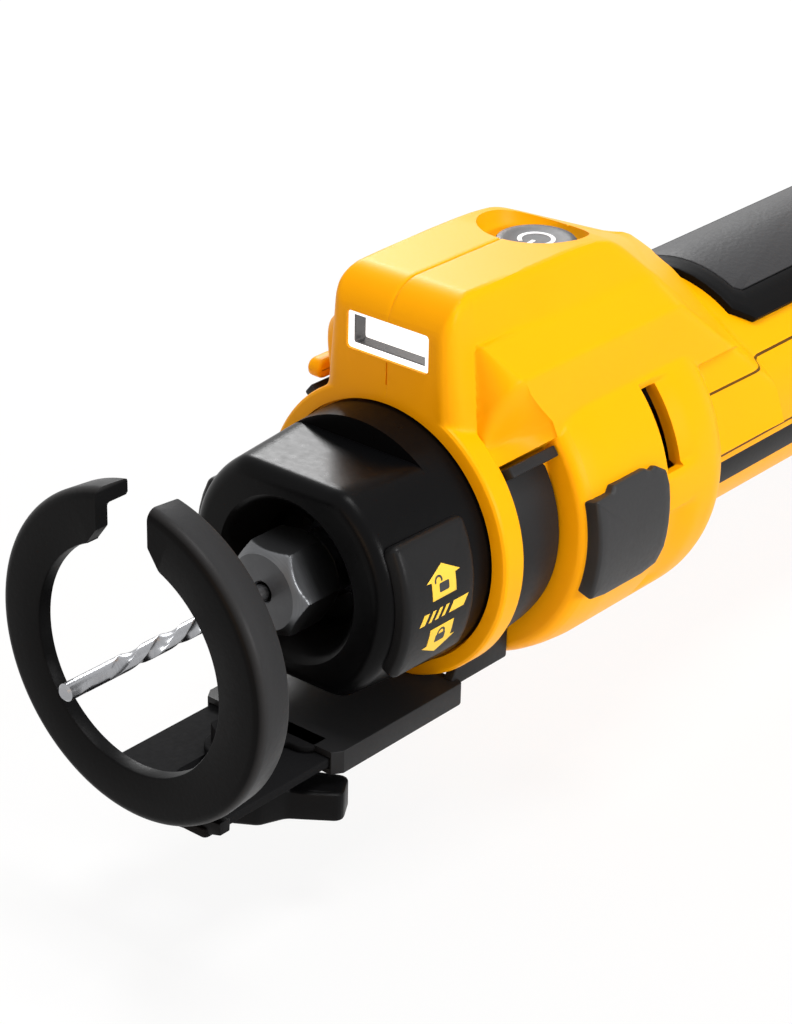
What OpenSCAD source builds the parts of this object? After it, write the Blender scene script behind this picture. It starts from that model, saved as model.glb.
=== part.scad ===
// Cordless drywall cut out tool with a depth guide.
// The spindle runs along X, the cutting end points to -X, and +Z is up.
// The origin is the middle of the guide ring, on its front face.

/* [Cutting bit] */
// Diameter of the bit
bit_d = 3.175; // [3:0.005:3.5]
// Length of the bit
bit_len = 63.5; // [60:0.5:66]
// How far the tip stands in front of the guide ring
bit_reach = 16; // [10:0.5:18]
// Turns of the flutes
flute_turns = 2.5; // [1.5:0.5:4]

/* [Collet and nut] */
// Hex nut, across flats
nut_af = 16; // [15:0.5:17]
// Front face of the nut
nut_front = 32; // [30:0.5:34]
// Length of the nut
nut_len = 12; // [10:0.5:13]

/* [Spindle] */
// Radius of the threaded front of the spindle
spindle_r = 6; // [5.5:0.1:6.5]
// Radius of the shaft at the front bearing and in the rotor
shaft_r = 5; // [4.5:0.1:5.5]
// Radius of the shaft at the rear bearing
tail_r = 4; // [3.5:0.1:4.4]
// Running clearance in the bearings and round the nose boss
run_gap = 0.05; // [0.02:0.01:0.09]
// Radius of the lock disc
lock_disc_r = 10.5; // [10:0.1:11]
// Notches round the lock disc
lock_notches = 12; // [4:4:12]
// Width of the radial lock pin
lock_pin_d = 3; // [2.6:0.1:3.2]
// Travel of the lock pin
lock_travel = 1.8; // [1.5:0.1:1.9]

/* [Nose collar] */
// Front face of the collar
collar_front = 38; // [37:0.5:39]
// Largest radius of the collar
collar_r = 25; // [24.5:0.1:25.2]
// Height of the flats on the collar
collar_flat = 20.2; // [20:0.1:21]
// Radius of the mouth round the nut
mouth_r = 15; // [13:0.5:16]
// Turn of the collar from run to lock, in degrees
lock_turn = 30; // [20:1:40]
// Radius of the raised pads
pad_r = 26; // [25.6:0.1:26.4]

/* [Housing] */
// Wall of the housing
wall = 2.4; // [2:0.1:2.8]
// Front face of the yellow ring round the collar
ring_front = 64.5; // [64:0.5:65]
// Radius of the yellow ring
front_ring_r = 28.5; // [28:0.1:28.7]
// Width of the neck groove behind the ring
neck_w = 14; // [13:0.5:15]
// Radius of the neck
neck_r = 24; // [23.5:0.1:24.2]
// Radius of the motor bulge
bulge_r = 33.2; // [32.5:0.1:34]
// Rear end of the motor bulge
bulge_rear = 130; // [128:0.5:133]
// Radius of the handle
handle_r = 25; // [24:0.1:26]
// Height of the top block above the spindle
block_top = 48; // [47:0.5:50]
// Half width of the top block
block_half = 16; // [15:0.5:17]
// Half width of the shoulders beside the top block
shoulder_half = 22.2; // [21:0.1:23]
// Rear face of the battery foot
foot_rear = 272; // [268:1:284]

/* [Work light] */
// Width of the light window
lens_w = 19; // [17:0.5:20]
// Height of the light window
lens_h = 7.4; // [6:0.2:8]

/* [Power button] */
// Radius of the button
button_r = 7.8; // [7:0.1:8]
// Travel of the button
button_travel = 1.2; // [0.8:0.1:1.3]

/* [Motor] */
// Room between the stator and the wall of the bulge
stator_room = 3.8; // [3.6:0.1:4.4]
// Length of the stator stack
stack_len = 12; // [10:0.5:12]
// Blades of the fan
fan_blades = 11; // [7:1:15]

/* [Air filters] */
// Length of a filter cover along the tool
filter_len = 20.6; // [18:0.2:21]
// Height of a filter cover
filter_h = 19; // [16:0.5:21]

/* [Depth guide] */
// Outer radius of the guide ring
guide_r = 30.5; // [29.5:0.5:31.5]
// Radius of the hole in the guide ring
guide_bore_r = 21; // [20:0.5:22]
// Depth of the rim of the guide ring
guide_depth = 6; // [5:0.5:7]
// Gap at the top of the guide ring, in degrees
guide_gap = 17; // [12:1:24]
// Width of the stem
stem_w = 28.4; // [26:0.2:29]
// Thickness of the stem
stem_t = 1.8; // [1.5:0.1:2]
// Rear end of the stem
stem_rear = 66; // [62:0.5:68]
// Travel of the guide to the rear
guide_back = 11; // [8:0.5:11]
// Travel of the guide to the front
guide_out = 24; // [20:0.5:25]
// Length of the wing knob, tip to tip
knob_span = 40; // [36:1:42]
// Diameter of the clamp bolt
bolt_d = 5; // [4.5:0.5:5.5]

/* [Battery pack] */
// Diameter of a cell
cell_d = 18.3; // [18:0.1:18.6]
// Length of a cell
cell_len = 65; // [64:0.5:66]
// Room in the pack above and below the cells
pack_end_room = 7.75; // [7.5:0.25:9]
// Room in the pack beside the cells
pack_side_room = 4.5; // [4:0.25:6]
// Depth of the pack's front half
pack_cover_d = 11; // [10.5:0.5:13]

/* [Hidden] */
$fn = 64;

// Small clearances and overlaps used everywhere
gap = 0.3;
bite = 0.01;
far = 400;

// Radii of the motor, from the wall of the bulge inwards; rotor and stator share the radius 8 to 7
stator_r = bulge_r - wall - stator_room;
magnet_r = stator_r * 8 / 15;
rotor_r = magnet_r - 1.9;
pole_r = magnet_r + 0.6;

// Path of the motor wires: distance from the spindle and height
wire_side = (stator_r + bulge_r - wall) / 2;
wire_z = -10;

// Places along the spindle
shank_r = bit_d / 2;
bit_rear = bit_len - bit_reach;
nut_rear = nut_front + nut_len;
spindle_front = nut_front + 8;
collet_seat = 12;
nose_front = 50;
lock_x0 = nose_front + 4.2;
lock_w = 3.6;
lock_x = lock_x0 + lock_w / 2;
bearing_w = 8;
bearing_x = lock_x0 + lock_w + 2.2;
bearing_r = 13;
neck_front = ring_front + 5.5;
bulge_front = neck_front + neck_w;
stator_x = bulge_front + 7;
stator_end = stator_x + stack_len;
end_turn = 3.4;
fan_x = stator_end + end_turn + 0.8;
fan_w = 6;
tail_bearing_x = fan_x + fan_w + 3.8;
tail_bearing_w = 7;
tail_bearing_r = 11;
shaft_end = tail_bearing_x + tail_bearing_w + 1.5;

// Nose boss and collar
boss_r = 17;
boss_bore_r = 9;
boss_rear = bulge_front + 0.6;
neck_bore = neck_r - wall;
collar_rear = ring_front + 1.5;
collar_bore_front = nose_front + 3;
collar_hollow_r = boss_r + 1.2;
collar_wall = 3;
step_x = 57.5;
pad_x0 = collar_front + 2.6;
pad_x1 = pad_x0 + 18.6;
pad_angle = 30;
pad_seat_r = 23;

// Rear taper of the bulge and the handle
bend_x = bulge_rear - 8;
bend_len = 9;
handle_front = bulge_rear + 21;
foot_front = foot_rear - 30;
foot_flat = foot_rear - 14;
foot_half_w = 32;

// Top block
block_front = ring_front + 0.6;
block_round = 8;
block_flat_end = block_front + 45;
stern_x = bulge_rear - 9;
stern_rise = 45.6;
stern_turn = 41.8;
dish_r = button_r + 1.4;
seat_x = bulge_front + 22.7;
seat_z = block_top - 4.8;
button_top = seat_z + 1.8;
lens_z = block_top - 10.65;

// Filters
filter_x = bulge_front + 0.8;
filter_r = bulge_r + 2;
window_margin = 2.6;
screen_t = 1;

// Guide
stem_top = -front_ring_r - gap;
stem_bottom = stem_top - stem_t;
plate_bottom = stem_top + gap;
plate_t = 1.2;
plate_top = plate_bottom + plate_t;
bracket_front = 36;
bracket_rear = 67;
rail_in = stem_w / 2 + gap;
rail_out = rail_in + 1.8;
lip_top = stem_bottom - gap;
lip_bottom = lip_top - 1;
band_in = neck_r + 0.2;
band_out = neck_r + 2.6;
band_x0 = neck_front + 0.5;
band_x1 = bulge_front - 1;
bolt_x = 25;
bolt_r = bolt_d / 2;
washer_t = 0.8;
washer_top = stem_bottom - gap;
knob_top = washer_top - washer_t - 0.1;
knob_h = 8;
bolt_end = knob_top - knob_h + 1.5;

// Battery: the pack takes its size from the cells, and the rail and foot from the pack
cell_rows = 5;
cell_pitch = cell_d + 0.2;
pack_w = cell_len + 2 * pack_side_room;
pack_len = cell_rows * cell_pitch + 2 * pack_end_room;
pack_wall = 2.4;
pack_depth = pack_cover_d + 2 * cell_pitch + pack_wall + 0.6;
pack_x = foot_rear + 0.3;
pack_rear = pack_x + pack_depth;
pack_split = pack_x + pack_cover_d;
pack_z1 = 50;
pack_z0 = pack_z1 - pack_len;
pack_mid = (pack_z0 + pack_z1) / 2;
pack_boss_inset = 4.6;
pack_boss_r = 3;
pack_screw_r = 1.5;
pack_screw_len = 12;
blade_t = 0.8;
blade_pitch = 7;
gauge_z = pack_mid + 1.5 * cell_pitch;
latch_z = pack_z0 + 9;
latch_half = 5;
latch_travel = 2.5;
tongue_top = latch_z + 11;
foot_half_h = -latch_z - latch_half - 2;
rail_d = 6;
rail_step = foot_rear + rail_d - 3;
rail_neck_half = 20;
rail_half = 24;
rail_bottom = tongue_top + 4;
rail_top = 38;
slide_gap = 0.25;
board_low = rail_bottom + 1;

// Solid of revolution about X from [x, radius] points
module x_revolve(points) {
    rotate([0, 90, 0]) rotate_extrude() polygon([for (p = points) [p[1], p[0]]]);
}

// Cylinder along X
module x_rod(x0, x1, r) {
    translate([x0, 0, 0]) rotate([0, 90, 0]) cylinder(h = x1 - x0, r = r);
}

// Tube along X
module x_tube(x0, x1, r_out, r_in) {
    difference() {
        x_rod(x0, x1, r_out);
        x_rod(x0 - 1, x1 + 1, r_in);
    }
}

// Box between two corners
module box(low, high) {
    translate(low) cube(high - low);
}

// Box that is the same on both sides of the seam, from a half width
module wide_box(x0, x1, half, z0, z1) {
    box([x0, -half, z0], [x1, half, z1]);
}

// Rectangle with round corners, built from squares and circles
module round_rect(w, h, r) {
    square([w - 2 * r, h], center = true);
    square([w, h - 2 * r], center = true);
    for (sx = [-1, 1], sy = [-1, 1])
        translate([sx * (w / 2 - r), sy * (h / 2 - r)]) circle(r);
}

// Sector about X between two angles, measured from -Y towards +Z
module x_sector(x0, x1, r, a0, a1) {
    steps = 6;
    reach = r / cos((a1 - a0) / steps / 2);
    translate([x0, 0, 0]) rotate([90, 0, 90]) linear_extrude(x1 - x0)
        polygon(concat([[0, 0]], [for (i = [0:steps])
            let (a = a0 + (a1 - a0) * i / steps) [-reach * cos(a), reach * sin(a)]]));
}

// Keeps one side of the seam: side is -1 for the left half and 1 for the right
module half_space(side) {
    box([-100, side < 0 ? -100 : 0, -100], [far, side < 0 ? 0 : 100, 100]);
}

// Tube swept along a list of points, with a flat cap at each end
module swept_tube(points, r, sides = 8) {
    n = len(points);
    heading = [for (i = [0:n - 1])
        let (d = points[min(i + 1, n - 1)] - points[max(i - 1, 0)]) d / norm(d)];
    side = [for (t = heading) let (s = cross(t, [0.05, 0.08, 1])) s / norm(s)];
    rings = [for (i = [0:n - 1], k = [0:sides - 1])
        let (a = 360 * k / sides)
        points[i] + r * (cos(a) * side[i] + sin(a) * cross(heading[i], side[i]))];
    skin = [for (i = [0:n - 2], k = [0:sides - 1])
        let (a = i * sides + k, b = i * sides + (k + 1) % sides)
        each [[a, a + sides, b], [b, a + sides, b + sides]]];
    cap = [for (k = [1:sides - 2]) each [[0, k, k + 1],
        [(n - 1) * sides, (n - 1) * sides + k + 1, (n - 1) * sides + k]]];
    polyhedron(rings, concat(skin, cap));
}

// Points of a coil spring along Z
function coil(r, z0, z1, turns) = [for (i = [0:turns * 8])
    [r * cos(45 * i), r * sin(45 * i), z0 + (z1 - z0) * i / (turns * 8)]];

// Bit with a smooth pilot tip, two helical flutes and a round shank
module cutting_bit() {
    pilot = 14;
    flute_end = nut_front - 6;
    flute_x = pilot - bit_reach;
    color("silver") {
        x_rod(-bit_reach + 0.6, flute_x + bite, shank_r);
        x_revolve([[-bit_reach, 0], [-bit_reach, shank_r - 0.5], [-bit_reach + 0.6, shank_r],
            [-bit_reach + 0.6, 0]]);
        translate([flute_x, 0, 0]) rotate([0, 90, 0])
            linear_extrude(flute_end - flute_x, twist = -360 * flute_turns, slices = 10 * flute_turns)
                difference() {
                    circle(shank_r - bite, $fn = 16);
                    for (s = [-1, 1]) translate([s * shank_r, 0]) circle(shank_r * 0.55, $fn = 8);
                }
        x_rod(flute_end - bite, bit_rear, shank_r);
    }
}

// Slit collet with a tapered outside
module collet() {
    front = nut_front + 3;
    rear = spindle_front + collet_seat;
    color("dimgray") difference() {
        x_revolve([[front, 0], [front, 3.4], [spindle_front, 4.5], [rear, 3.1], [rear, 0]]);
        x_rod(front - 1, rear + 1, shank_r + 0.02);
        for (a = [0:120:240]) rotate([a + 60, 0, 0])
            box([front - 1, -0.3, 0], [rear - 3, 0.3, 10]);
    }
}

// Hex nut that presses the collet into the spindle
module collet_nut() {
    corner = nut_af / 2 / cos(30);
    color("dimgray") difference() {
        intersection() {
            translate([nut_front, 0, 0]) rotate([0, 90, 0]) rotate([0, 0, 30])
                cylinder(h = nut_len, r = corner, $fn = 6);
            x_revolve([[nut_front, 0], [nut_front, nut_af / 2 - 0.4], [nut_front + 1, corner],
                [nut_rear - 1, corner], [nut_rear, nut_af / 2], [nut_rear, 0]]);
        }
        x_revolve([[nut_front - 1, 0], [nut_front - 1, 2.4], [nut_front + 3, 2.4], [nut_front + 3, 3.45],
            [spindle_front, 4.55], [spindle_front, spindle_r], [nut_rear + 1, spindle_r], [nut_rear + 1, 0]]);
    }
}

// Spindle and motor shaft in one piece, with the collet taper in its front
module motor_shaft() {
    color("silver") difference() {
        x_revolve([[spindle_front, 0], [spindle_front, spindle_r], [bearing_x - 0.1, spindle_r],
            [bearing_x - 0.1, shaft_r], [tail_bearing_x - 0.1, shaft_r], [tail_bearing_x - 0.1, tail_r],
            [shaft_end, tail_r], [shaft_end, 0]]);
        x_revolve([[spindle_front - 1, 0], [spindle_front - 1, 4.6], [spindle_front, 4.5],
            [spindle_front + collet_seat, 3.1], [spindle_front + collet_seat, 2],
            [spindle_front + collet_seat + 4, 2], [spindle_front + collet_seat + 4, 0]]);
    }
}

// Notched disc that the lock pin drops into
module lock_disc() {
    notch_depth = lock_travel + 0.5;
    color("gray") difference() {
        x_tube(lock_x0, lock_x0 + lock_w, lock_disc_r, spindle_r);
        for (i = [0:lock_notches - 1]) rotate([360 / lock_notches * i, 0, 0])
            wide_box(lock_x0 - 1, lock_x0 + lock_w + 1, lock_pin_d / 2 + 0.25,
                lock_disc_r - notch_depth, lock_disc_r + 1);
    }
}

// Laminated rotor
module rotor_core() {
    color("gray") x_tube(stator_x - 1, stator_end + 1, rotor_r, shaft_r);
}

// Four arc magnets round the rotor
module rotor_magnets() {
    color("darkslategray") for (a = [0:90:270])
        intersection() {
            x_tube(stator_x - 0.5, stator_end + 0.5, magnet_r, rotor_r);
            rotate([a, 0, 0]) x_sector(stator_x - 2, stator_end + 2, 3 * magnet_r, -40, 40);
        }
}

// Radial fan with a rear plate
module cooling_fan() {
    fan_r = stator_r - 0.5;
    color("dimgray") difference() {
        union() {
            x_rod(fan_x, fan_x + fan_w, 9);
            x_rod(fan_x + fan_w - 1.4, fan_x + fan_w, fan_r);
            for (i = [0:fan_blades - 1]) rotate([360 / fan_blades * i, 0, 0])
                translate([0, 2, 0]) box([fan_x, -0.6, 6], [fan_x + fan_w - 1, 0.6, fan_r - 0.8]);
        }
        x_rod(fan_x - 1, fan_x + fan_w + 1, shaft_r);
    }
}

// Ball bearing with two races, a cage gap and balls
module ball_bearing(x0, w, r_out, r_in, balls) {
    mid = (r_out + r_in) / 2;
    ball_r = (r_out - r_in) * 0.28;
    groove = (r_out - r_in) * 0.18;
    difference() {
        x_tube(x0, x0 + w, r_out, r_in);
        for (x = [x0 - 1, x0 + w - 0.8]) x_tube(x, x + 1.8, mid + groove, mid - groove);
    }
    for (i = [0:balls - 1]) rotate([360 / balls * i, 0, 0])
        translate([x0 + 1, 0, mid]) sphere(ball_r * 0.5);
}

module front_bearing() {
    color("silver") ball_bearing(bearing_x, bearing_w, bearing_r, shaft_r + run_gap, 8);
}

module rear_bearing() {
    color("silver") ball_bearing(tail_bearing_x, tail_bearing_w, tail_bearing_r, tail_r + run_gap, 7);
}

// Fixed nose: front sleeve for the collar, bearing seat and a body gripped by the neck
module nose_boss() {
    pin_seat = bearing_r + 0.2;
    color("darkgray") difference() {
        union() {
            x_rod(nose_front, ring_front + 3, boss_r);
            x_rod(ring_front + 2.4, boss_rear, neck_bore);
        }
        x_rod(nose_front - 1, bearing_x + bearing_w, bearing_r);
        x_rod(bearing_x, boss_rear + 1, boss_bore_r);
        x_tube(nose_front + 1.4, nose_front + 2.8, boss_r + 2, boss_r - 1.4);
        translate([lock_x, 0, 0]) cylinder(h = 30, r = lock_pin_d / 2 + 0.05);
        translate([lock_x, 0, pin_seat]) cylinder(h = 30, r = lock_pin_d / 2 + 1.4);
    }
}

// Snap ring that keeps the collar on the nose
module collar_snap_ring() {
    color("silver") difference() {
        x_tube(nose_front + 1.5, nose_front + 2.7, boss_r + 0.9, boss_r - 1.4);
        x_sector(nose_front, nose_front + 4, 40, 75, 105);
    }
}

// Spiral cut in the collar that drives the lock pin
module cam_track() {
    reach = 8;
    radius = function (a) boss_r + 0.05 + lock_travel * (1 - max(0, min(1, a / lock_turn)));
    outline = [for (a = [-reach:2:lock_turn + reach]) [radius(a) * sin(a), radius(a) * cos(a)]];
    translate([lock_x - lock_pin_d / 2 - 0.4, 0, 0]) rotate([90, 0, 90])
        linear_extrude(lock_pin_d + 0.8) polygon(concat([[0, 0]], outline));
}

// Outside of the collar before its flats are cut
module collar_cone() {
    nose_r = pad_seat_r;
    x_revolve([[collar_front, 0], [collar_front, nose_r - 2.6], [collar_front + 0.5, nose_r - 1.2],
        [collar_front + 1.6, nose_r - 0.2], [collar_front + 3, nose_r], [step_x, collar_r - 0.4],
        [ring_front - 1, collar_r], [collar_rear, collar_r], [collar_rear, 0]]);
}

// Where the two pads sit
module pad_zone(r_out, r_in, grow = 0) {
    for (turn = [0, 180]) rotate([turn, 0, 0]) intersection() {
        x_tube(pad_x0 - grow, pad_x1 + grow, r_out, r_in);
        x_sector(pad_x0 - 1, pad_x1 + 1, 40, -pad_angle - grow, pad_angle + grow);
    }
}

// Twist collar: flats above and below, a mouth round the nut, pad seats and the cam inside
module nose_collar() {
    color([0.07, 0.07, 0.08]) difference() {
        collar_cone();
        for (s = [0, 1]) mirror([0, 0, s])
            wide_box(collar_front - 1, step_x, 40, collar_flat, 40);
        x_rod(collar_front - 1, collar_rear + 1, mouth_r);
        x_rod(collar_front + collar_wall, collar_bore_front, collar_hollow_r);
        x_rod(collar_bore_front - 1, collar_rear + 1, boss_r + run_gap);
        cam_track();
        pad_zone(40, pad_seat_r);
    }
}

// Raised side pads of the collar
module collar_pads() {
    color([0.12, 0.12, 0.13]) pad_zone(pad_r, pad_seat_r);
}

lock_pin_in = lock_disc_r + gap;
lock_pin_out = boss_r + lock_travel - 0.25;
lock_flange_top = lock_pin_out - lock_pin_d / 2 - 0.3;

// Radial pin between the collar's cam and the lock disc
module lock_pin() {
    r = lock_pin_d / 2;
    color("silver") translate([lock_x, 0, 0]) {
        translate([0, 0, lock_pin_in]) cylinder(h = lock_pin_out - r - lock_pin_in, r = r);
        translate([0, 0, lock_pin_out - r]) intersection() {
            sphere(r);
            translate([-r, -r, -bite]) cube(2 * r);
        }
        translate([0, 0, lock_flange_top - 0.6]) cylinder(h = 0.6, r = r + 1);
    }
}

// Spring that lifts the lock pin out of the disc
module lock_pin_spring() {
    wire = 0.3;
    low = bearing_r + 0.2 + wire;
    high = lock_flange_top - 0.6 - wire;
    color("silver") translate([lock_x, 0, 0])
        swept_tube(coil(lock_pin_d / 2 + 0.75, low, high, 2), wire, 6);
}

tooth_w = 7;
tooth_count = 6;
yoke_r = stator_r - 5;

// Stator stack: a yoke ring with six teeth
module stator_core() {
    color("slategray") {
        x_tube(stator_x, stator_end, stator_r, yoke_r);
        difference() {
            union() for (i = [0:tooth_count - 1]) rotate([60 * i, 0, 0])
                wide_box(stator_x, stator_end, tooth_w / 2, pole_r - 1, yoke_r + 1);
            x_rod(stator_x - 1, stator_end + 1, pole_r);
        }
    }
}

// One copper coil round each tooth
module stator_windings() {
    coil_w = 5.4;
    color("peru") for (i = [0:tooth_count - 1]) rotate([60 * i, 0, 0]) difference() {
        wide_box(stator_x - end_turn, stator_end + end_turn, coil_w, pole_r + 2, yoke_r - 1.2);
        wide_box(stator_x - bite, stator_end + bite, tooth_w / 2, 0, 60);
    }
}

// Round board for the rotor sensors, on the rear of the nose boss
module sensor_board() {
    color("darkgreen") {
        x_tube(boss_rear, boss_rear + 1.2, neck_bore - 1, boss_bore_r);
        for (a = [30, 60, 90]) rotate([a, 0, 0])
            wide_box(boss_rear + 1.2, boss_rear + 2.4, 1.8, 12, 15);
    }
}

// Outer profile of the round parts of the housing, as [x, radius]; cut is the wall taken off
function round_profile(cut) = concat(
    [[bulge_front + cut, 0], [bulge_front + cut, bulge_r - 1.6 - cut], [bulge_front + 1.6 + cut, bulge_r - cut]],
    [for (a = [0:15:90]) [bend_x + (bend_len - cut) * sin(a),
        handle_r - cut + (bulge_r - handle_r) * cos(a)]],
    [[foot_front + cut, handle_r - cut], [foot_flat + cut, foot_half_h + 8],
    [foot_rear - cut, foot_half_h + 8], [foot_rear - cut, 0]]);

// Side view of the top block, as [x, z]
function block_side(cut) = concat(
    [[block_front + cut, 10]],
    [for (a = [180:-15:90]) [block_front + block_round + (block_round - cut) * cos(a),
        block_top - block_round + (block_round - cut) * sin(a)]],
    [[block_flat_end, block_top - cut], [block_flat_end + 3, block_top - 0.5 - cut],
        [bulge_rear + 10, block_top - 12 - cut], [handle_front - cut, handle_r + 3.7 - cut],
        [handle_front - cut, 10]]);

// Front view of the top block, as [y, z]
function block_face(cut) = [[-block_half + cut, 0], [-block_half + cut, block_top - 9.5],
    [-block_half + 2 + cut, block_top - 1.6], [-block_half + 3.6 + cut, block_top - bite],
    [block_half - 3.6 - cut, block_top - bite], [block_half - 2 - cut, block_top - 1.6],
    [block_half - cut, block_top - 9.5], [block_half - cut, 0]];

// Plan view of the top block, as one half of [x, y]
function block_plan(cut) = [[block_front - 1, block_half - 4.2 - cut],
    [block_front + 10, block_half - 1.4 - cut], [block_front + 34, block_half + 1 - cut],
    [handle_front + 1, block_half + 1 - cut]];

// Section of the shoulders, as one half of [y, z]
function shoulder_half_section(cut) = [[shoulder_half - cut, 0],
    [shoulder_half - cut, block_top - 15.2 - cut], [block_half - cut, block_top - 9.5 - cut]];

// Side view of the shoulders, as [x, z]
function shoulder_side(cut) = [[bulge_front - 1 + cut, bulge_r * 0.68], [neck_front + 7 + cut, block_top - 16],
    [neck_front + 9 + cut, block_top - 9], [bulge_rear + 8, block_top - 9],
    [handle_front - 6 - cut, neck_r * 0.7]];

// A half outline and its mirror image, as one closed outline in [across, up]
function both_sides(points) = concat([for (p = points) [p[0], p[1]]],
    [for (i = [len(points) - 1:-1:0]) [-points[i][0], points[i][1]]]);

// Prism along Y, X or Z from an outline
module along_y(points) {
    translate([0, 100, 0]) rotate([90, 0, 0]) linear_extrude(200) polygon(points);
}
module along_x(points) {
    rotate([90, 0, 90]) linear_extrude(far) polygon(points);
}
module along_z(points) {
    linear_extrude(100) polygon(points);
}

// The plan outline, mirrored across the seam
function plan_outline(points) = concat([for (p = points) [p[0], p[1]]],
    [for (i = [len(points) - 1:-1:0]) [points[i][0], -points[i][1]]]);

// Body of the housing; cut takes a wall off all round
module housing_body(cut) {
    intersection() {
        x_revolve(round_profile(cut));
        union() {
            x_rod(0, foot_front + 2, 60);
            translate([foot_front, 0, 0]) rotate([0, 90, 0])
                linear_extrude(40) round_rect(2 * (foot_half_h - cut), 2 * (foot_half_w - cut), 8);
        }
    }
    difference() {
        union() {
            intersection() {
                along_y(block_side(cut));
                along_x(block_face(cut));
                along_z(plan_outline(block_plan(cut)));
            }
            intersection() {
                along_x(both_sides(shoulder_half_section(cut)));
                along_y(shoulder_side(cut));
            }
        }
        stern_cuts(cut);
    }
}

// Space behind the two slanted planes that end the block and the shoulders
module stern_cuts(cut) {
    reach = 120;
    for (s = [0, 1]) mirror([0, s, 0])
        translate([stern_x, -block_half, block_top - 9.5]) rotate([0, -stern_rise, -stern_turn])
            translate([-cut, -reach / 2, -reach / 2]) cube(reach);
}

// Front ring and neck
module housing_front() {
    x_revolve([[ring_front, 0], [ring_front, front_ring_r - 0.8], [ring_front + 0.8, front_ring_r],
        [neck_front, front_ring_r], [neck_front, neck_r], [bulge_front + 4, neck_r], [bulge_front + 4, 0]]);
}

// Screw places, as [x, z]
screw_places = [[neck_front + 8, block_top - 14], [bulge_rear - 5, 31], [bulge_rear - 7, -24],
    [handle_front + 8, -17], [foot_front - 20, -17], [foot_flat + 5, foot_half_h - 10],
    [foot_flat + 5, 10 - foot_half_h]];
screw_r = 2;
screw_head_r = 3.6;
screw_head_y = 13;
screw_tip_y = -9;

// Vent slots behind the filter cover, as [first angle, last angle] from -Y towards +Z
vent_slots = [[11.5, 40.5]];
vent_x = bulge_front + 24;
vent_w = 3.4;

// Half of the housing
module housing_half(side) {
    intersection() {
        half_space(side);
        difference() {
            union() {
                housing_front();
                difference() {
                    housing_body(0);
                    housing_body(wall);
                }
                intersection() {
                    housing_body(0);
                    housing_ribs();
                }
                housing_rail();
            }
            housing_cuts();
        }
    }
}

// Ribs, seats and bosses inside the housing
module housing_ribs() {
    difference() {
        union() {
            for (x = [stator_x + 1, stator_end - 3]) x_tube(x, x + 2, bulge_r - wall + bite, stator_r);
            difference() {
                x_rod(tail_bearing_x + 0.5, tail_bearing_x + tail_bearing_w - 0.5, bulge_r - wall + bite);
                x_rod(0, far, tail_bearing_r);
                box([0, wire_side - 10, wire_z - 7], [far, 60, wire_z + 7]);
            }
        }
        wide_box(0, far, block_half - wall, board_z - gap, 100);
    }
    for (x = [controller_x + 5, controller_x + controller_len - 7]) difference() {
        x_rod(x, x + 2, handle_r - wall + bite);
        controller_box(0);
        wide_box(x - 1, x + 3, controller_half - 3, -40, 40);
    }
    for (p = screw_places) translate([p[0], 100, p[1]]) rotate([90, 0, 0]) cylinder(h = 200, r = 4.2);
    translate([seat_x, 0, seat_z - wall]) cylinder(h = wall, r = button_r + 4);
    for (x = [seat_x - 9, seat_x + 7]) wide_box(x, x + 2, 40, board_z - 2, board_z);
    wide_box(led_x + 1.4, led_x + 3, 40, lens_z - lens_h / 2 - 2, lens_z - lens_h / 2);
}

// Slide rail on the rear of the foot that carries the battery pack
module housing_rail() {
    wide_box(foot_rear - 1, rail_step + bite, rail_neck_half, rail_bottom, rail_top);
    wide_box(rail_step, foot_rear + rail_d, rail_half, rail_bottom, rail_top);
}

// Everything cut out of the housing
module housing_cuts() {
    x_rod(ring_front - 1, collar_rear + gap, collar_r + 0.4);
    x_rod(ring_front - 1, ring_front + 3, boss_r);
    x_rod(ring_front + 2.4, bulge_front + wall + 5, neck_bore);
    wide_box(block_front - 2, block_front + 20, lens_w / 2, lens_z - lens_h / 2, lens_z + lens_h / 2);
    translate([seat_x, 0, seat_z])
        cylinder(h = block_top - seat_z + 1, r1 = dish_r, r2 = dish_r + 1.8);
    translate([seat_x, 0, seat_z - 20]) cylinder(h = 40, r = button_r + gap);
    for (side = [0, 1], slot = vent_slots) mirror([0, side, 0]) difference() {
        x_sector(vent_x, vent_x + vent_w, 60, slot[0], slot[1]);
        x_rod(vent_x - 1, vent_x + vent_w + 1, bulge_r - wall - 1);
    }
    for (s = [-1, 1]) box([filter_x + window_margin, s < 0 ? -60 : 24, -filter_h / 2 + window_margin],
        [filter_x + filter_len - window_margin, s < 0 ? -24 : 60, filter_h / 2 - window_margin]);
    for (p = screw_places) translate([p[0], 0, p[1]]) rotate([90, 0, 0]) {
        cylinder(h = -screw_tip_y + 1, r = screw_r);
        translate([0, 0, -screw_head_y]) cylinder(h = screw_head_y, r = screw_r + 0.2);
        translate([0, 0, -100]) cylinder(h = 100 - screw_head_y, r = screw_head_r + 0.4);
    }
    wide_box(terminal_x, foot_rear + rail_d + 1, terminal_half_w + 0.1,
        -terminal_half_h - 0.1, terminal_half_h + 0.1);
    wide_box(foot_rear - 2.4, foot_rear + 1, 10, -foot_half_h - 1, rail_bottom - 1);
}

module left_housing() {
    color("gold") housing_half(-1);
}

module right_housing() {
    color("gold") housing_half(1);
}

// Screws that hold the halves together, driven from the right
module housing_screws() {
    color("dimgray") for (p = screw_places) translate([p[0], 0, p[1]]) rotate([90, 0, 0]) {
        translate([0, 0, -screw_head_y]) cylinder(h = screw_head_y - screw_tip_y, r = screw_r);
        translate([0, 0, -screw_head_y - 2.4]) difference() {
            cylinder(h = 2.4, r = screw_head_r);
            translate([0, 0, -1]) cylinder(h = 2.4, r = 1.4, $fn = 6);
        }
    }
}

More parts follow.
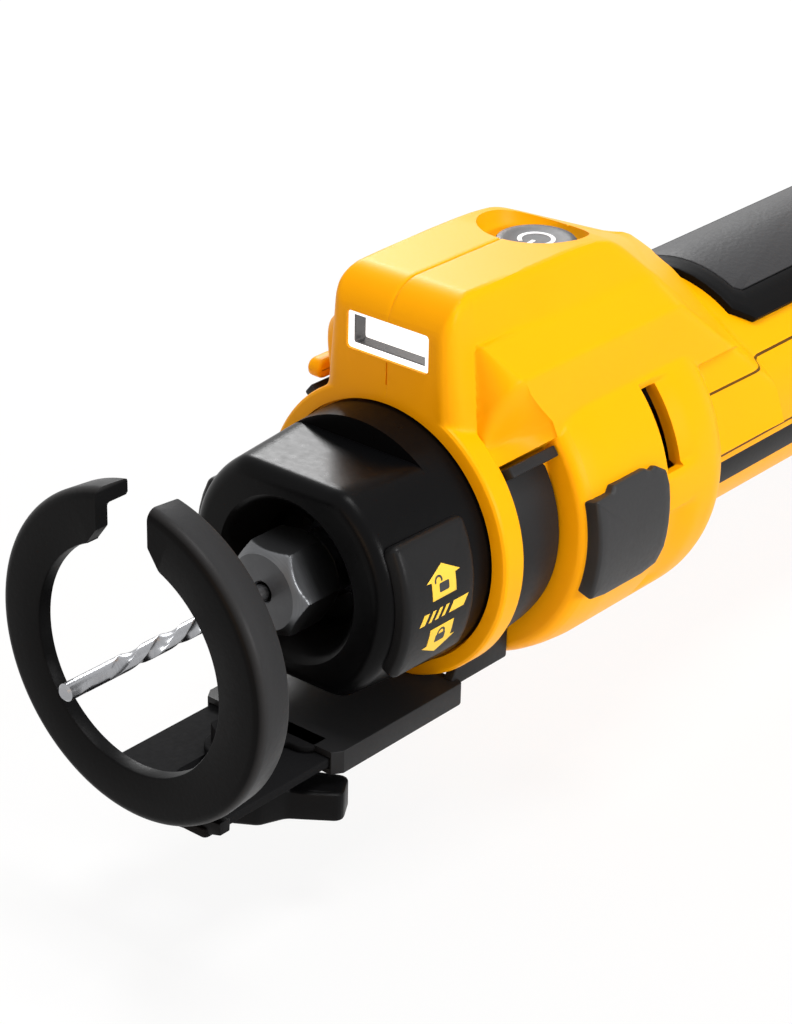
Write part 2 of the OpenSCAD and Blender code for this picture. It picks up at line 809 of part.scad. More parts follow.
// Rubber on top of the handle
grip_x0 = handle_front + 1;
grip_x1 = foot_front - 4;
grip_half = 44;
grip_t = 1.5;
pad_half = 29;
pad_front = grip_x0 + 6;
pad_back = grip_x1 - 6;

// Shell on the handle between two angles from the top
module handle_shell(x0, x1, r_out, half) {
    intersection() {
        x_tube(x0, x1, r_out, handle_r);
        x_sector(x0 - 1, x1 + 1, 60, 90 - half, 90 + half);
    }
}

module grip_border() {
    color([0.1, 0.1, 0.1]) difference() {
        handle_shell(grip_x0, grip_x1, handle_r + grip_t, grip_half);
        x_sector(pad_front, pad_back, 60, 90 - pad_half, 90 + pad_half);
    }
}

module grip_pad() {
    color([0.2, 0.2, 0.2]) handle_shell(pad_front, pad_back, handle_r + grip_t, pad_half);
}

led_x = block_front + 4.4;

// Clear light window in the front of the top block
module led_lens() {
    color([0.95, 0.97, 1]) wide_box(block_front + 0.4, led_x, lens_w / 2,
        lens_z - lens_h / 2, lens_z + lens_h / 2);
}

// Light board behind the window
module led_board() {
    color("white") {
        wide_box(led_x, led_x + 1.4, lens_w / 2 - 0.5, lens_z - lens_h / 2 - 1.5, lens_z + lens_h / 2);
        for (y = [-6, 0, 6]) translate([led_x + 1.4, y, lens_z]) rotate([0, 90, 0])
            cylinder(h = 0.8, r = 1.2);
    }
}

board_z = block_top - 14.5;
board_t = 1.6;
cap_flange = seat_z - wall - 0.2;
cap_stem = board_z + board_t + 2.2;

// Round push button with a flange under the housing and a stem
module power_button() {
    color([0.16, 0.16, 0.17]) translate([seat_x, 0, 0]) {
        translate([0, 0, cap_flange - 1.2]) cylinder(h = 1.2, r = button_r + 1.2);
        translate([0, 0, cap_flange - bite]) cylinder(h = button_top - 0.8 - cap_flange, r = button_r);
        translate([0, 0, button_top - 0.8 - 2 * bite])
            cylinder(h = 0.8, r1 = button_r, r2 = button_r - 0.8);
        translate([0, 0, cap_stem]) cylinder(h = cap_flange - 1 - cap_stem, r = 2);
    }
}

// Return spring under the button
module button_spring() {
    wire = 0.4;
    color("silver") translate([seat_x, 0, 0])
        swept_tube(coil(5, board_z + board_t + wire, cap_flange - 1.2 - wire, 3), wire, 6);
}

// Board with the push switch
module switch_board() {
    color("darkgreen") {
        wide_box(seat_x - 10, seat_x + 10, block_half - wall - 2.4, board_z, board_z + board_t);
        wide_box(seat_x - 2.5, seat_x + 2.5, 2.5, board_z + board_t - bite, cap_stem - button_travel - 0.1);
    }
}

// Filter cover on one side, with stepped top and bottom edges
module filter_cover(side) {
    step = 3.4;
    intersection() {
        x_tube(filter_x, filter_x + filter_len, filter_r, bulge_r);
        half_space(side);
        wide_box(filter_x - 1, filter_x + filter_len + 1, 60, -filter_h / 2, filter_h / 2);
        union() {
            box([filter_x + step, -60, -60], [filter_x + filter_len - step, 60, 60]);
            wide_box(filter_x - 1, filter_x + filter_len + 1, 60, -filter_h / 2 + 2, filter_h / 2 - 2);
        }
    }
}

module left_filter_cover() {
    color([0.13, 0.13, 0.14]) filter_cover(-1);
}

module right_filter_cover() {
    color([0.13, 0.13, 0.14]) filter_cover(1);
}

// Fine screens in the two air windows
module filter_screens() {
    screen_r = bulge_r - 0.8;
    half_h = filter_h / 2 - window_margin;
    color("gray") for (side = [-1, 1]) intersection() {
        x_tube(filter_x + window_margin, filter_x + filter_len - window_margin,
            screen_r, screen_r - screen_t);
        half_space(side);
        wide_box(0, far, 60, -half_h, half_h);
    }
}

// Guide ring with its rim, arm gap, front lip and slotted stem
module guide_ring() {
    plate = 2.6;
    rim = 2.8;
    lip_r = guide_r + 3.4;
    lip_half = stem_w / 2 + 1.6;
    slot_x0 = bolt_x - guide_back - bolt_r - 0.5;
    slot_x1 = bolt_x + guide_out + bolt_r + 0.5;
    color([0.09, 0.09, 0.1]) difference() {
        union() {
            x_tube(0, plate, guide_r, guide_bore_r);
            x_tube(0, guide_depth, guide_r, guide_r - rim);
            intersection() {
                x_tube(plate, plate + 2.4, lip_r, guide_r - rim);
                wide_box(0, 20, lip_half, -60, stem_top);
            }
            wide_box(plate - 0.6, stem_rear, stem_w / 2, stem_bottom, stem_top);
        }
        x_sector(-1, guide_depth + 1, 60, 90 - guide_gap / 2, 90 + guide_gap / 2);
        wide_box(slot_x0, slot_x1, bolt_r + 0.4, -60, -20);
    }
}

// Bracket: a band round the neck with the channel for the guide's stem
module guide_bracket() {
    band_top = 38;
    band_tab = 3.4;
    tongue_front = guide_depth + guide_back + 1;
    tongue_half = 5.6;
    web_top = -20;
    color([0.09, 0.09, 0.1]) difference() {
        union() {
            difference() {
                x_tube(band_x0, band_x1, band_out, band_in);
                x_sector(band_x0 - 1, band_x1 + 1, 60, band_top, 180 - band_top);
            }
            wide_box(bracket_front, bracket_rear, rail_out, plate_bottom, plate_top);
            wide_box(tongue_front, bracket_front + 1, tongue_half, plate_bottom, plate_top);
            for (s = [0, 1]) mirror([0, s, 0]) {
                box([bracket_front, rail_in, lip_bottom], [bracket_rear, rail_out, plate_top]);
                box([bracket_front, rail_in - 2.4, lip_bottom], [bracket_rear, rail_out, lip_top]);
                box([bracket_rear - 4, rail_in, lip_bottom], [band_x1, rail_out, plate_top]);
                box([band_x0, rail_in, lip_bottom], [band_x1, rail_out, web_top]);
                intersection() {
                    x_tube(band_x0, band_x1, band_out + band_tab, band_out - bite);
                    x_sector(band_x0, band_x1, 60, band_top - 4.5, band_top - 0.5);
                }
            }
        }
        x_rod(ring_front - 0.8, neck_front + 0.4, front_ring_r + gap);
        x_rod(band_x0 - 1, band_x1 + 1, band_in);
        translate([bolt_x, 0, -60]) cylinder(h = 60, r = bolt_r + 0.05);
    }
}

// Clamp bolt through the bracket's tongue and the stem's slot
module clamp_bolt() {
    color("silver") translate([bolt_x, 0, 0]) {
        translate([0, 0, plate_top]) cylinder(h = 3.4, r = bolt_r * 1.8, $fn = 6);
        translate([0, 0, bolt_end]) cylinder(h = plate_top - bolt_end + bite, r = bolt_r);
    }
}

module clamp_washer() {
    color("silver") translate([bolt_x, 0, washer_top - washer_t]) difference() {
        cylinder(h = washer_t, r = bolt_r + 4.5);
        translate([0, 0, -1]) cylinder(h = washer_t + 2, r = bolt_r + 0.05);
    }
}

// Wing knob: a round hub with two flat wings
module clamp_knob() {
    hub_r = 8;
    wing_t = 7;
    bar_angle = -58;
    color([0.11, 0.11, 0.12]) translate([bolt_x, 0, knob_top - knob_h]) difference() {
        union() {
            cylinder(h = knob_h, r = hub_r);
            rotate([0, 0, bar_angle]) linear_extrude(knob_h - 2)
                round_rect(knob_span, wing_t, 2.5);
        }
        translate([0, 0, 1.4]) cylinder(h = knob_h, r = bolt_r + 0.05);
    }
}

controller_x = handle_front + 12;
controller_len = 46;
controller_half = 15;
controller_z0 = -11;
controller_z1 = 7;

module controller_box(grow) {
    wide_box(controller_x - grow, controller_x + controller_len + grow, controller_half + grow,
        controller_z0 - grow, controller_z1 + grow);
}

// Motor controller in a potted tray with cooling fins
module controller_module() {
    fins = 7;
    color("dimgray") {
        controller_box(0);
        for (i = [0:fins - 1]) translate([0, (i - (fins - 1) / 2) * 3.4, 0])
            wide_box(controller_x + 12, controller_x + controller_len - 12, 0.6,
                controller_z1 - bite, controller_z1 + 5);
    }
}

// Three wires from the stator, past the fan, to the controller
module phase_wires() {
    wire_r = 0.9;
    end_y = controller_half - 4;
    color("firebrick") for (i = [-1:1])
        let (z = wire_z + 3.6 * i, y = sqrt(wire_side ^ 2 - z ^ 2), end_z = 2.6 * i - 2)
        swept_tube([[stator_end, y - 3.6, z], [stator_end + 2, y - 3.6, z], [fan_x - 0.6, y, z],
            [tail_bearing_x, y, z], [bulge_rear - 6, y - 1.5, z], [bulge_rear - 1, y - 9.5, z * 0.9],
            [bulge_rear + 14, y - 12, z * 0.8],
            [controller_x - 6, end_y, end_z], [controller_x - 2, end_y, end_z],
            [controller_x, end_y, end_z]], wire_r);
}

// Two wires from the battery terminals to the controller
module supply_wires() {
    wire_r = 1.2;
    start = controller_x + controller_len;
    color("black") for (y = [-5, 5])
        swept_tube([[start, y, -4], [start + 3, y, -4], [start + 8, y, -5],
            [(start + terminal_x) / 2, y * 1.4, -10], [terminal_x - 10, y, -5], [terminal_x - 3, y, 0],
            [terminal_x, y, 0]], wire_r);
}

terminal_half_w = 14;
terminal_half_h = 18;
terminal_x = foot_flat - 6;

// Terminal block in the foot, with four blades that enter the pack
module terminal_block() {
    color("black") wide_box(terminal_x, foot_rear + rail_d, terminal_half_w,
        -terminal_half_h, terminal_half_h);
    color("gold") for (i = [-1.5:1:1.5]) translate([0, i * blade_pitch, 0])
        wide_box(foot_rear + rail_d - bite, foot_rear + rail_d + 5, blade_t / 2, -terminal_half_h + 4, 4);
}

// Round-cornered block of the whole pack
module pack_block(x0, x1, shrink = 0) {
    translate([x0, 0, pack_mid]) rotate([0, 90, 0]) linear_extrude(x1 - x0)
        round_rect(pack_len - 2 * shrink, pack_w - 2 * shrink, 9 - shrink);
}

// Front half of the pack, with the slide slot for the rail
module pack_cover() {
    floor_x = foot_rear + rail_d + slide_gap;
    slot_bottom = rail_bottom - slide_gap;
    color([0.1, 0.1, 0.1]) difference() {
        pack_block(pack_x, pack_split);
        wide_box(pack_x - 1, rail_step + 1, rail_neck_half + slide_gap, slot_bottom, 100);
        wide_box(rail_step - slide_gap, floor_x, rail_half + slide_gap, slot_bottom, 100);
        for (i = [-1.5:1:1.5]) translate([0, i * blade_pitch, 0])
            wide_box(floor_x - 1, pack_split + 1, blade_t / 2 + 0.4, -terminal_half_h + 3.4, 100);
        latch_slot(0.2);
        wide_box(pack_split - 3, pack_split + 1, 17, board_low - 0.2, board_low + 14.2);
    }
}

// Space of the latch and its tongue in the cover
module latch_slot(grow) {
    wide_box(pack_x - 1, pack_split + 1, 9 + grow, latch_z - latch_half - grow, latch_z + latch_half + grow);
    wide_box(pack_x - 1, pack_x + 2 + latch_travel + grow, 7 + grow, latch_z, tongue_top + grow);
}

// Rear half of the pack: a tray round the cells, with a screw boss in each corner
module pack_base() {
    color([0.1, 0.1, 0.1]) difference() {
        union() {
            difference() {
                pack_block(pack_split, pack_rear);
                pack_block(pack_split - 1, pack_rear - pack_wall, pack_wall);
            }
            at_pack_corners() cylinder(h = pack_rear - pack_split - pack_wall + bite, r = pack_boss_r);
        }
        at_pack_corners() translate([0, 0, -1]) cylinder(h = pack_screw_len + 1.5, r = pack_screw_r);
        translate([pack_rear - 10, 0, gauge_z]) rotate([0, 90, 0]) cylinder(h = 20, r = 4.2);
    }
}

// Repeats a child along X at the four screw corners of the pack
module at_pack_corners() {
    for (sy = [-1, 1], z = [pack_z0 + pack_boss_inset, pack_z1 - pack_boss_inset])
        translate([pack_split, sy * (pack_w / 2 - pack_boss_inset), z]) rotate([0, 90, 0]) children();
}

// Ten cells in two layers of five
module pack_cells() {
    cell_r = cell_d / 2;
    rear_layer = pack_rear - pack_wall - 0.2 - cell_r;
    color("teal") for (layer = [0, 1], i = [-2:2])
        translate([rear_layer - layer * cell_pitch, cell_len / 2, pack_mid + i * cell_pitch])
            rotate([90, 0, 0]) cylinder(h = cell_len, r = cell_r);
}

// Board with the pack's electronics, in a pocket of the cover
module pack_board() {
    color("darkgreen") wide_box(pack_split - 3, pack_split - 1.4, 16.8, board_low, board_low + 14);
}

// Screws that hold the pack's halves together
module pack_screws() {
    color("dimgray") at_pack_corners() cylinder(h = pack_screw_len, r = pack_screw_r);
}

// Release button of the pack, with the tongue that enters the foot
module pack_latch() {
    color([0.7, 0.1, 0.08]) {
        wide_box(pack_x - 0.8, pack_x + 4, 9, latch_z - latch_half, latch_z + latch_half);
        wide_box(pack_x - 2, pack_x + 2, 7, latch_z + latch_half - bite, tongue_top);
    }
}

// Spring behind the release button
module latch_spring() {
    wire = 0.5;
    color("silver") translate([0, 0, latch_z]) rotate([0, 90, 0])
        swept_tube(coil(3, pack_x + 4 + wire, pack_split - wire, 4), wire, 6);
}

// Charge gauge button on the rear of the pack
module gauge_button() {
    color("silver") translate([pack_rear - 2, 0, gauge_z]) rotate([0, 90, 0]) cylinder(h = 2.6, r = 4);
}

cutting_bit();
collet();
collet_nut();
motor_shaft();
lock_disc();
rotor_core();
rotor_magnets();
cooling_fan();
front_bearing();
rear_bearing();
nose_boss();
nose_collar();
collar_pads();
collar_snap_ring();
lock_pin();
lock_pin_spring();
stator_core();
stator_windings();
sensor_board();
left_housing();
right_housing();
housing_screws();
grip_border();
grip_pad();
led_lens();
led_board();
power_button();
button_spring();
switch_board();
left_filter_cover();
right_filter_cover();
filter_screens();
guide_ring();
guide_bracket();
clamp_bolt();
clamp_washer();
clamp_knob();
controller_module();
phase_wires();
supply_wires();
terminal_block();
pack_cover();
pack_base();
pack_cells();
pack_board();
pack_screws();
pack_latch();
latch_spring();
gauge_button();
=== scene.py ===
import math

import bmesh
import bpy
import numpy as np
from mathutils import Matrix, Vector


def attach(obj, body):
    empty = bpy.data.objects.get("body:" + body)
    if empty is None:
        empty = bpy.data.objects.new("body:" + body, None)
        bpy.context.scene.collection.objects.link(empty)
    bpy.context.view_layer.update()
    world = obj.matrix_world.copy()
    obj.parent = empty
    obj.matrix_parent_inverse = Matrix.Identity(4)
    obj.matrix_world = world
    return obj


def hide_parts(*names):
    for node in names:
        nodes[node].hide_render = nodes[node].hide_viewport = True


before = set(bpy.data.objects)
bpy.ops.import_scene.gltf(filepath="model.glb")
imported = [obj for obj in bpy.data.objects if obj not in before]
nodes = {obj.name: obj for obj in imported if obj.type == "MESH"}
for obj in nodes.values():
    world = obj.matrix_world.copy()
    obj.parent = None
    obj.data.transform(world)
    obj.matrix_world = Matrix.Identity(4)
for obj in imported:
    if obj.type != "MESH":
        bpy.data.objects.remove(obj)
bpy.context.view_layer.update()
scene = bpy.context.scene
scene.view_settings.view_transform = "Standard"

# The view: the tool from its left front, a little above, through a long lens.
# The place follows from how the guide ring, the nut and the collar look in the photograph.
view_turn, view_tilt, view_roll = np.radians([-50.32, 26.28, 1.25])
view_place = (-0.3047, -0.3093, 0.2417)
view_right = np.array([math.cos(view_turn), math.sin(view_turn), 0.0])
view_back = np.array([math.sin(view_turn) * math.cos(view_tilt),
                      -math.cos(view_turn) * math.cos(view_tilt), math.sin(view_tilt)])
view_up = np.cross(view_back, view_right)
view_axes = (math.cos(view_roll) * view_right + math.sin(view_roll) * view_up,
             math.cos(view_roll) * view_up - math.sin(view_roll) * view_right,
             view_back)
camera = bpy.data.objects.new("photo_camera", bpy.data.cameras.new("photo_camera"))
camera.data.lens = 103.85
camera.data.sensor_width = 36
camera.data.clip_start = 0.01
camera.matrix_world = Matrix.Translation(view_place) @ Matrix(view_axes).transposed().to_4x4()
scene.collection.objects.link(camera)
scene.camera = camera

# The studio: a white floor that takes a faint shadow, a white surround, and four soft lamps.
# One hangs above the nose, one lights the left side, a warm one the front, and one the rear edges.
floor_height = -0.0586
floor_half = 6.0
floor_grey = (0.85, 0.85, 0.85, 1.0)
floor_glow_share = 0.86
air_strength = 0.38
white = (1.0, 1.0, 1.0, 1.0)


def feed(tree, socket, source):
    """Gives an input socket its source: another socket, a node's first output, or a plain value."""
    if isinstance(source, bpy.types.Node):
        source = source.outputs[0]
    if isinstance(source, bpy.types.NodeSocket):
        tree.links.new(source, socket)
    else:
        socket.default_value = source


def add_node(tree, kind, *feeds, **settings):
    """A shader node of a kind, with feeds for its sockets in turn.

    A setting with a capital letter feeds the socket of that name, and any other is the node's own.
    """
    node = tree.nodes.new(f"ShaderNode{kind}")
    for label, value in settings.items():
        if label.islower():
            setattr(node, label, value)
    for order, source in enumerate(feeds):
        feed(tree, node.inputs[order], source)
    for label, source in settings.items():
        if not label.islower():
            feed(tree, node.inputs[label.replace("_", " ")], source)
    return node


def tree_of(owner):
    """The emptied node tree of a material or world."""
    owner.use_nodes = True
    owner.node_tree.nodes.clear()
    return owner.node_tree


def seen_directly(tree):
    """A value that is 1 for rays from the camera, off shiny surfaces and through glass, else 0."""
    rays = add_node(tree, "LightPath").outputs
    shiny = add_node(tree, "Math", rays["Is Glossy Ray"], rays["Is Transmission Ray"], operation="MAXIMUM")
    return add_node(tree, "Math", rays["Is Camera Ray"], shiny, operation="MAXIMUM")


scene.world = bpy.data.worlds.new("studio_air")
air_tree = tree_of(scene.world)
air_dim = add_node(air_tree, "Background", white, air_strength)
air_bright = add_node(air_tree, "Background", white, 1.0)
air_mix = add_node(air_tree, "MixShader", seen_directly(air_tree), air_dim, air_bright)
add_node(air_tree, "OutputWorld", Surface=air_mix)

floor_paint = bpy.data.materials.new("studio_floor")
floor_tree = tree_of(floor_paint)
floor_share = add_node(floor_tree, "Math", seen_directly(floor_tree), floor_glow_share, operation="MULTIPLY")
floor_matt = add_node(floor_tree, "BsdfDiffuse", floor_grey)
floor_glow = add_node(floor_tree, "Emission", white, 1.0)
floor_mix = add_node(floor_tree, "MixShader", floor_share, floor_matt, floor_glow)
add_node(floor_tree, "OutputMaterial", Surface=floor_mix)
floor_corners = floor_half * np.array([(-1, -1), (1, -1), (1, 1), (-1, 1)])
floor_mesh = bpy.data.meshes.new("studio_floor")
floor_mesh.from_pydata(np.insert(floor_corners, 2, floor_height, axis=1), [], [(0, 1, 2, 3)])
floor_mesh.materials.append(floor_paint)
floor = bpy.data.objects.new("studio_floor", floor_mesh)
scene.collection.objects.link(floor)


def add_lamp(name, place, aim, size, power, tint=(1.0, 1.0, 1.0)):
    """A square area lamp at place, turned so that its back points away from aim."""
    lamp = bpy.data.objects.new(name, bpy.data.lights.new(name, "AREA"))
    lamp.data.size = size
    lamp.data.energy = power
    lamp.data.color = tint
    away = Vector(place) - Vector(aim)
    lamp.matrix_world = Matrix.Translation(place) @ away.to_track_quat("Z", "Y").to_matrix().to_4x4()
    scene.collection.objects.link(lamp)


add_lamp("lamp_above", (0.1, -0.2, 0.9), (0.09, 0.0, 0.0), 0.35, 5.2)
add_lamp("lamp_left", (0.2, -0.9, 0.3), (0.09, 0.0, 0.0), 0.22, 4.5)
add_lamp("lamp_front", (-0.9, -0.2, 0.15), (0.05, 0.0, 0.0), 0.4, 1.8, (1.0, 0.55, 0.2))
add_lamp("lamp_rear", (0.64, 0.6, 0.49), (0.05, 0.0, 0.02), 0.24, 4.5)

# The housing: two moulded halves of glass-filled nylon that meet on the middle plane.
# A round motor body carries a top block with shoulders, a ring and neck in front, and runs
# back into the handle and the battery foot. Seven screws from the right hold the halves.
sides = (("left", -1), ("right", 1))
ring_front = 64.5
ring_radius = 28.5
neck_start = 70.0
neck_radius = 24.0
body_start = 84.0
body_radius = 32.8
body_end = 122.0
body_bend = 9.0
handle_radius = 24.8
foot_start = 242.0
foot_half = 32.0
foot_rise = 42.0
foot_corner = 7.0
foot_rear = 272.0
rail_neck = 20.0
rail_head = 24.0
rail_head_start = foot_rear + 3.0
rail_top = 38.0
rail_low = 34.0
rail_rear = foot_rear + 6.0
block_face = 64.6
block_end = 151.5
block_top = 48.0
block_brow = 8.0
block_corner = 3.0
block_foot_x = [65.0, 75.0, 92.0, 160.0]
block_foot_half = [14.0, 14.8, 16.2, 16.6]
block_crown_x = [65.0, 72.0, 92.0]
block_crown_half = [13.4, 12.8, 13.2]
shoulder_half = 26.7
shoulder_lean = 0.137
shoulder_top = 38.6
shoulder_foot = 27.6
shoulder_end = 145.0
facet_normal = (5.6, 6.2)
facet_reach = 328.3
stern_normal = (0.523, 0.467, 0.714)
stern_reach = 98.6
stern_edge = 1.5
valley_start = 108.2
valley_floor = 111.5
valley_end = 119.0
valley_depth = 1.3
valley_above_rib = (10.6, 12.0, 40.5, 42.5)
valley_below_rib = (-42.0, -36.0, -4.0, -2.4)
lug_reach = 14.0
lug_turn = [40.0, 44.4, 52.8, 68.0]
lug_draw = [0.0, 1.0, 6.6, 12.0]
housing_wall = 2.4
nose_bore = 21.6
nose_bore_end = 86.5
nose_lip_bore = 17.2
nose_lip_end = 66.9
collar_recess = 25.4
collar_recess_end = 66.3
terminal_half = 14.1
terminal_rise = 18.1
least_hollow = 14.0
button_place = (107.2, 0.0)
bowl_place = (107.0, 0.6)
bowl_floor = 43.2
bowl_wall = 2.6
bowl_reach = 18.0


def srgb(red, green, blue):
    """A colour given as 0 to 255 screen values, as the linear values that shaders take."""
    screen = np.array([red, green, blue]) / 255
    return (*np.where(screen < 0.04045, screen / 12.92, ((screen + 0.055) / 1.055) ** 2.4), 1.0)


def surface_group(name, colours, values):
    """An empty node group and its two end nodes. It takes the named colours and values, and puts
    out a colour, a roughness and a height."""
    group = bpy.data.node_groups.new(name, "ShaderNodeTree")
    sockets = (("INPUT", "NodeSocketColor", colours), ("INPUT", "NodeSocketFloat", values),
               ("OUTPUT", "NodeSocketColor", ["Color"]),
               ("OUTPUT", "NodeSocketFloat", ["Roughness", "Height"]))
    for end, kind, labels in sockets:
        for label in labels:
            group.interface.new_socket(label, in_out=end, socket_type=kind)
    return group, group.nodes.new("NodeGroupInput"), group.nodes.new("NodeGroupOutput")


moulded, grain_in, grain_out = surface_group("moulded_surface", ["Base", "Shade"],
                                             ["Grain", "Gloss", "Spread"])
grain_place = add_node(moulded, "TexCoord").outputs["Object"]
grain_fine = add_node(moulded, "TexNoise", grain_place, Scale=grain_in.outputs["Grain"], Detail=3.0)
grain_cloud = add_node(moulded, "TexNoise", grain_place, Scale=38.0)
grain_tint = add_node(moulded, "Mix", data_type="RGBA", Factor=grain_cloud, A=grain_in.outputs["Base"],
                      B=grain_in.outputs["Shade"])
grain_rough = add_node(moulded, "Math", grain_fine, grain_in.outputs["Spread"], grain_in.outputs["Gloss"],
                       operation="MULTIPLY_ADD")
feed(moulded, grain_out.inputs["Color"], grain_tint.outputs["Result"])
feed(moulded, grain_out.inputs["Roughness"], grain_rough)
feed(moulded, grain_out.inputs["Height"], grain_fine)


def plain_finish(name, **sockets):
    """A material with one Principled shader whose named sockets are set, and its tree and shader."""
    finish = bpy.data.materials.new(name)
    tree = tree_of(finish)
    shader = add_node(tree, "BsdfPrincipled", name="surface", **sockets)
    add_node(tree, "OutputMaterial", Surface=shader)
    return finish, tree, shader


def textured_finish(name, group, base, shade, depth, sockets, **inputs):
    """A plain finish whose colour, roughness and bump of a depth come from a group with the given inputs.

    The two colours, base and shade, are screen values.
    """
    finish, tree, shader = plain_finish(name, **sockets)
    surface = add_node(tree, "Group", node_tree=group, Base=srgb(*base), Shade=srgb(*shade), **inputs)
    bump = add_node(tree, "Bump", Strength=1.0, Distance=depth, Height=surface.outputs["Height"])
    feed(tree, shader.inputs["Base Color"], surface.outputs["Color"])
    feed(tree, shader.inputs["Roughness"], surface.outputs["Roughness"])
    feed(tree, shader.inputs["Normal"], bump)
    return finish


def moulded_finish(name, base, shade, grain, gloss, spread, depth, shine=0.5, metal=0.0):
    """A moulded plastic or rubber: clouded colour, grain of a scale, and a bump of a depth."""
    sockets = {"Specular_IOR_Level": shine, "Metallic": metal}
    return textured_finish(name, moulded, base, shade, depth, sockets, Grain=grain, Gloss=gloss,
                           Spread=spread)


def paint_over(finish, share, colour):
    """Lays a colour over a finish where the share is 1."""
    tree = finish.node_tree
    base = tree.nodes["surface"].inputs["Base Color"]
    paint = add_node(tree, "Mix", data_type="RGBA", Factor=share, A=base.links[0].from_socket, B=colour)
    feed(tree, base, paint.outputs["Result"])


def add_stripe(finish, start, low, high, colour):
    """Paints a plain stripe along both sides of the handle, behind start and between two heights."""
    tree = finish.node_tree
    axes = add_node(tree, "SeparateXYZ", add_node(tree, "TexCoord").outputs["Object"]).outputs
    behind = add_node(tree, "Math", axes["X"], start, operation="GREATER_THAN")
    above = add_node(tree, "Math", axes["Z"], low, operation="GREATER_THAN")
    below = add_node(tree, "Math", axes["Z"], high, operation="LESS_THAN")
    level = add_node(tree, "Math", above, below, operation="MULTIPLY")
    paint_over(finish, add_node(tree, "Math", behind, level, operation="MULTIPLY"), colour)


yellow = moulded_finish("housing_yellow", (255, 176, 0), (254, 170, 0), 1400.0, 0.34, 0.1, 0.00001, 0.09)
stripe_start = 0.1295
stripe_black = srgb(16, 16, 17)
line_brown = srgb(92, 62, 12)
add_stripe(yellow, stripe_start, -0.0100, -0.0039, stripe_black)
add_stripe(yellow, stripe_start, -0.0026, -0.0021, line_brown)
add_stripe(yellow, stripe_start, 0.0128, 0.0133, line_brown)


def soft_max(first, second, fillet):
    """The larger of two heights; where they come within the fillet size the crossing is filled round."""
    close = np.clip(fillet - np.abs(first - second), 0, None)
    return np.maximum(first, second) + close ** 2 / (4 * fillet)


def soft_min(first, second, fillet):
    """The smaller of two heights, with the edge between them rounded by the fillet size."""
    return -soft_max(-first, -second, fillet)


def ramp(value, low, high):
    """0 below low, 1 above high and a smooth S between."""
    t = np.clip((value - low) / (high - low), 0, 1)
    return t * t * (3 - 2 * t)


def plateau(value, start, risen, falling, end):
    """1 from risen to falling, 0 outside start and end, and a smooth S on both slopes."""
    return ramp(value, start, risen) * (1 - ramp(value, falling, end))


def round_off(depth, radius):
    """How far a quarter-circle edge lies inside its flat, at a depth behind the face it starts from."""
    short = radius - np.clip(depth, 0, radius)
    return radius - np.sqrt(radius ** 2 - short ** 2)


bend = np.linspace(0, np.pi / 2, 10)
round_x = np.concatenate([
    ring_front + np.array([0.0, 0.1, 0.4, 0.9]), neck_start + np.array([-0.6, -0.15, 0.0, 0.03]),
    body_start + np.array([-0.03, 0.0, 0.3, 1.0, 2.5, 5.0, 9.0]), body_end + body_bend * np.sin(bend),
    foot_start + np.array([0.0, 4.0, 14.0, 17.0, 58.0])])
round_r = np.concatenate([
    ring_radius - np.array([0.9, 0.6, 0.2, 0.0, 0.0, 0.15, 0.6]), [neck_radius, neck_radius],
    body_radius - np.array([3.2, 2.3, 1.6, 0.9, 0.4, 0.0]),
    handle_radius + (body_radius - handle_radius) * np.cos(bend), [handle_radius, 29.5, 48.0, 52.0, 52.0]])
top_x = [60.0, 99.0, 104.0, 109.0, 113.0, 116.0, 120.0, 130.0, 140.4, 144.3, 148.4, 151.0, 151.4, 160.0]
top_z = [block_top, block_top, 47.8, 47.3, 46.4, 45.3, 43.7, 39.8, 35.7, 33.2, 29.5, 27.5, 24.0, 10.0]


def lug(angle):
    """How far the front edge of the body and its shoulders is drawn forward at an angle."""
    return np.interp(np.degrees(angle), lug_turn, lug_draw)


def drawn_rows(x, angle):
    """Grid rows with the body's front edge drawn forward by the lug, less and less within its reach."""
    return x - lug(angle) * np.clip(1 - np.abs(x - body_start) / lug_reach, 0, 1)


def undrawn(x, angle):
    """The row that was drawn to x: the inverse of drawn_rows, a straight piece on each side of the edge."""
    slope = lug(angle) / lug_reach
    ahead = body_start - lug_reach + (x - body_start + lug_reach) / (1 - slope)
    behind = body_start + lug_reach - (body_start + lug_reach - x) / (1 + slope)
    row = np.where(x < body_start - lug(angle), ahead, behind)
    return np.where(np.abs(x - body_start) < lug_reach, row, x)


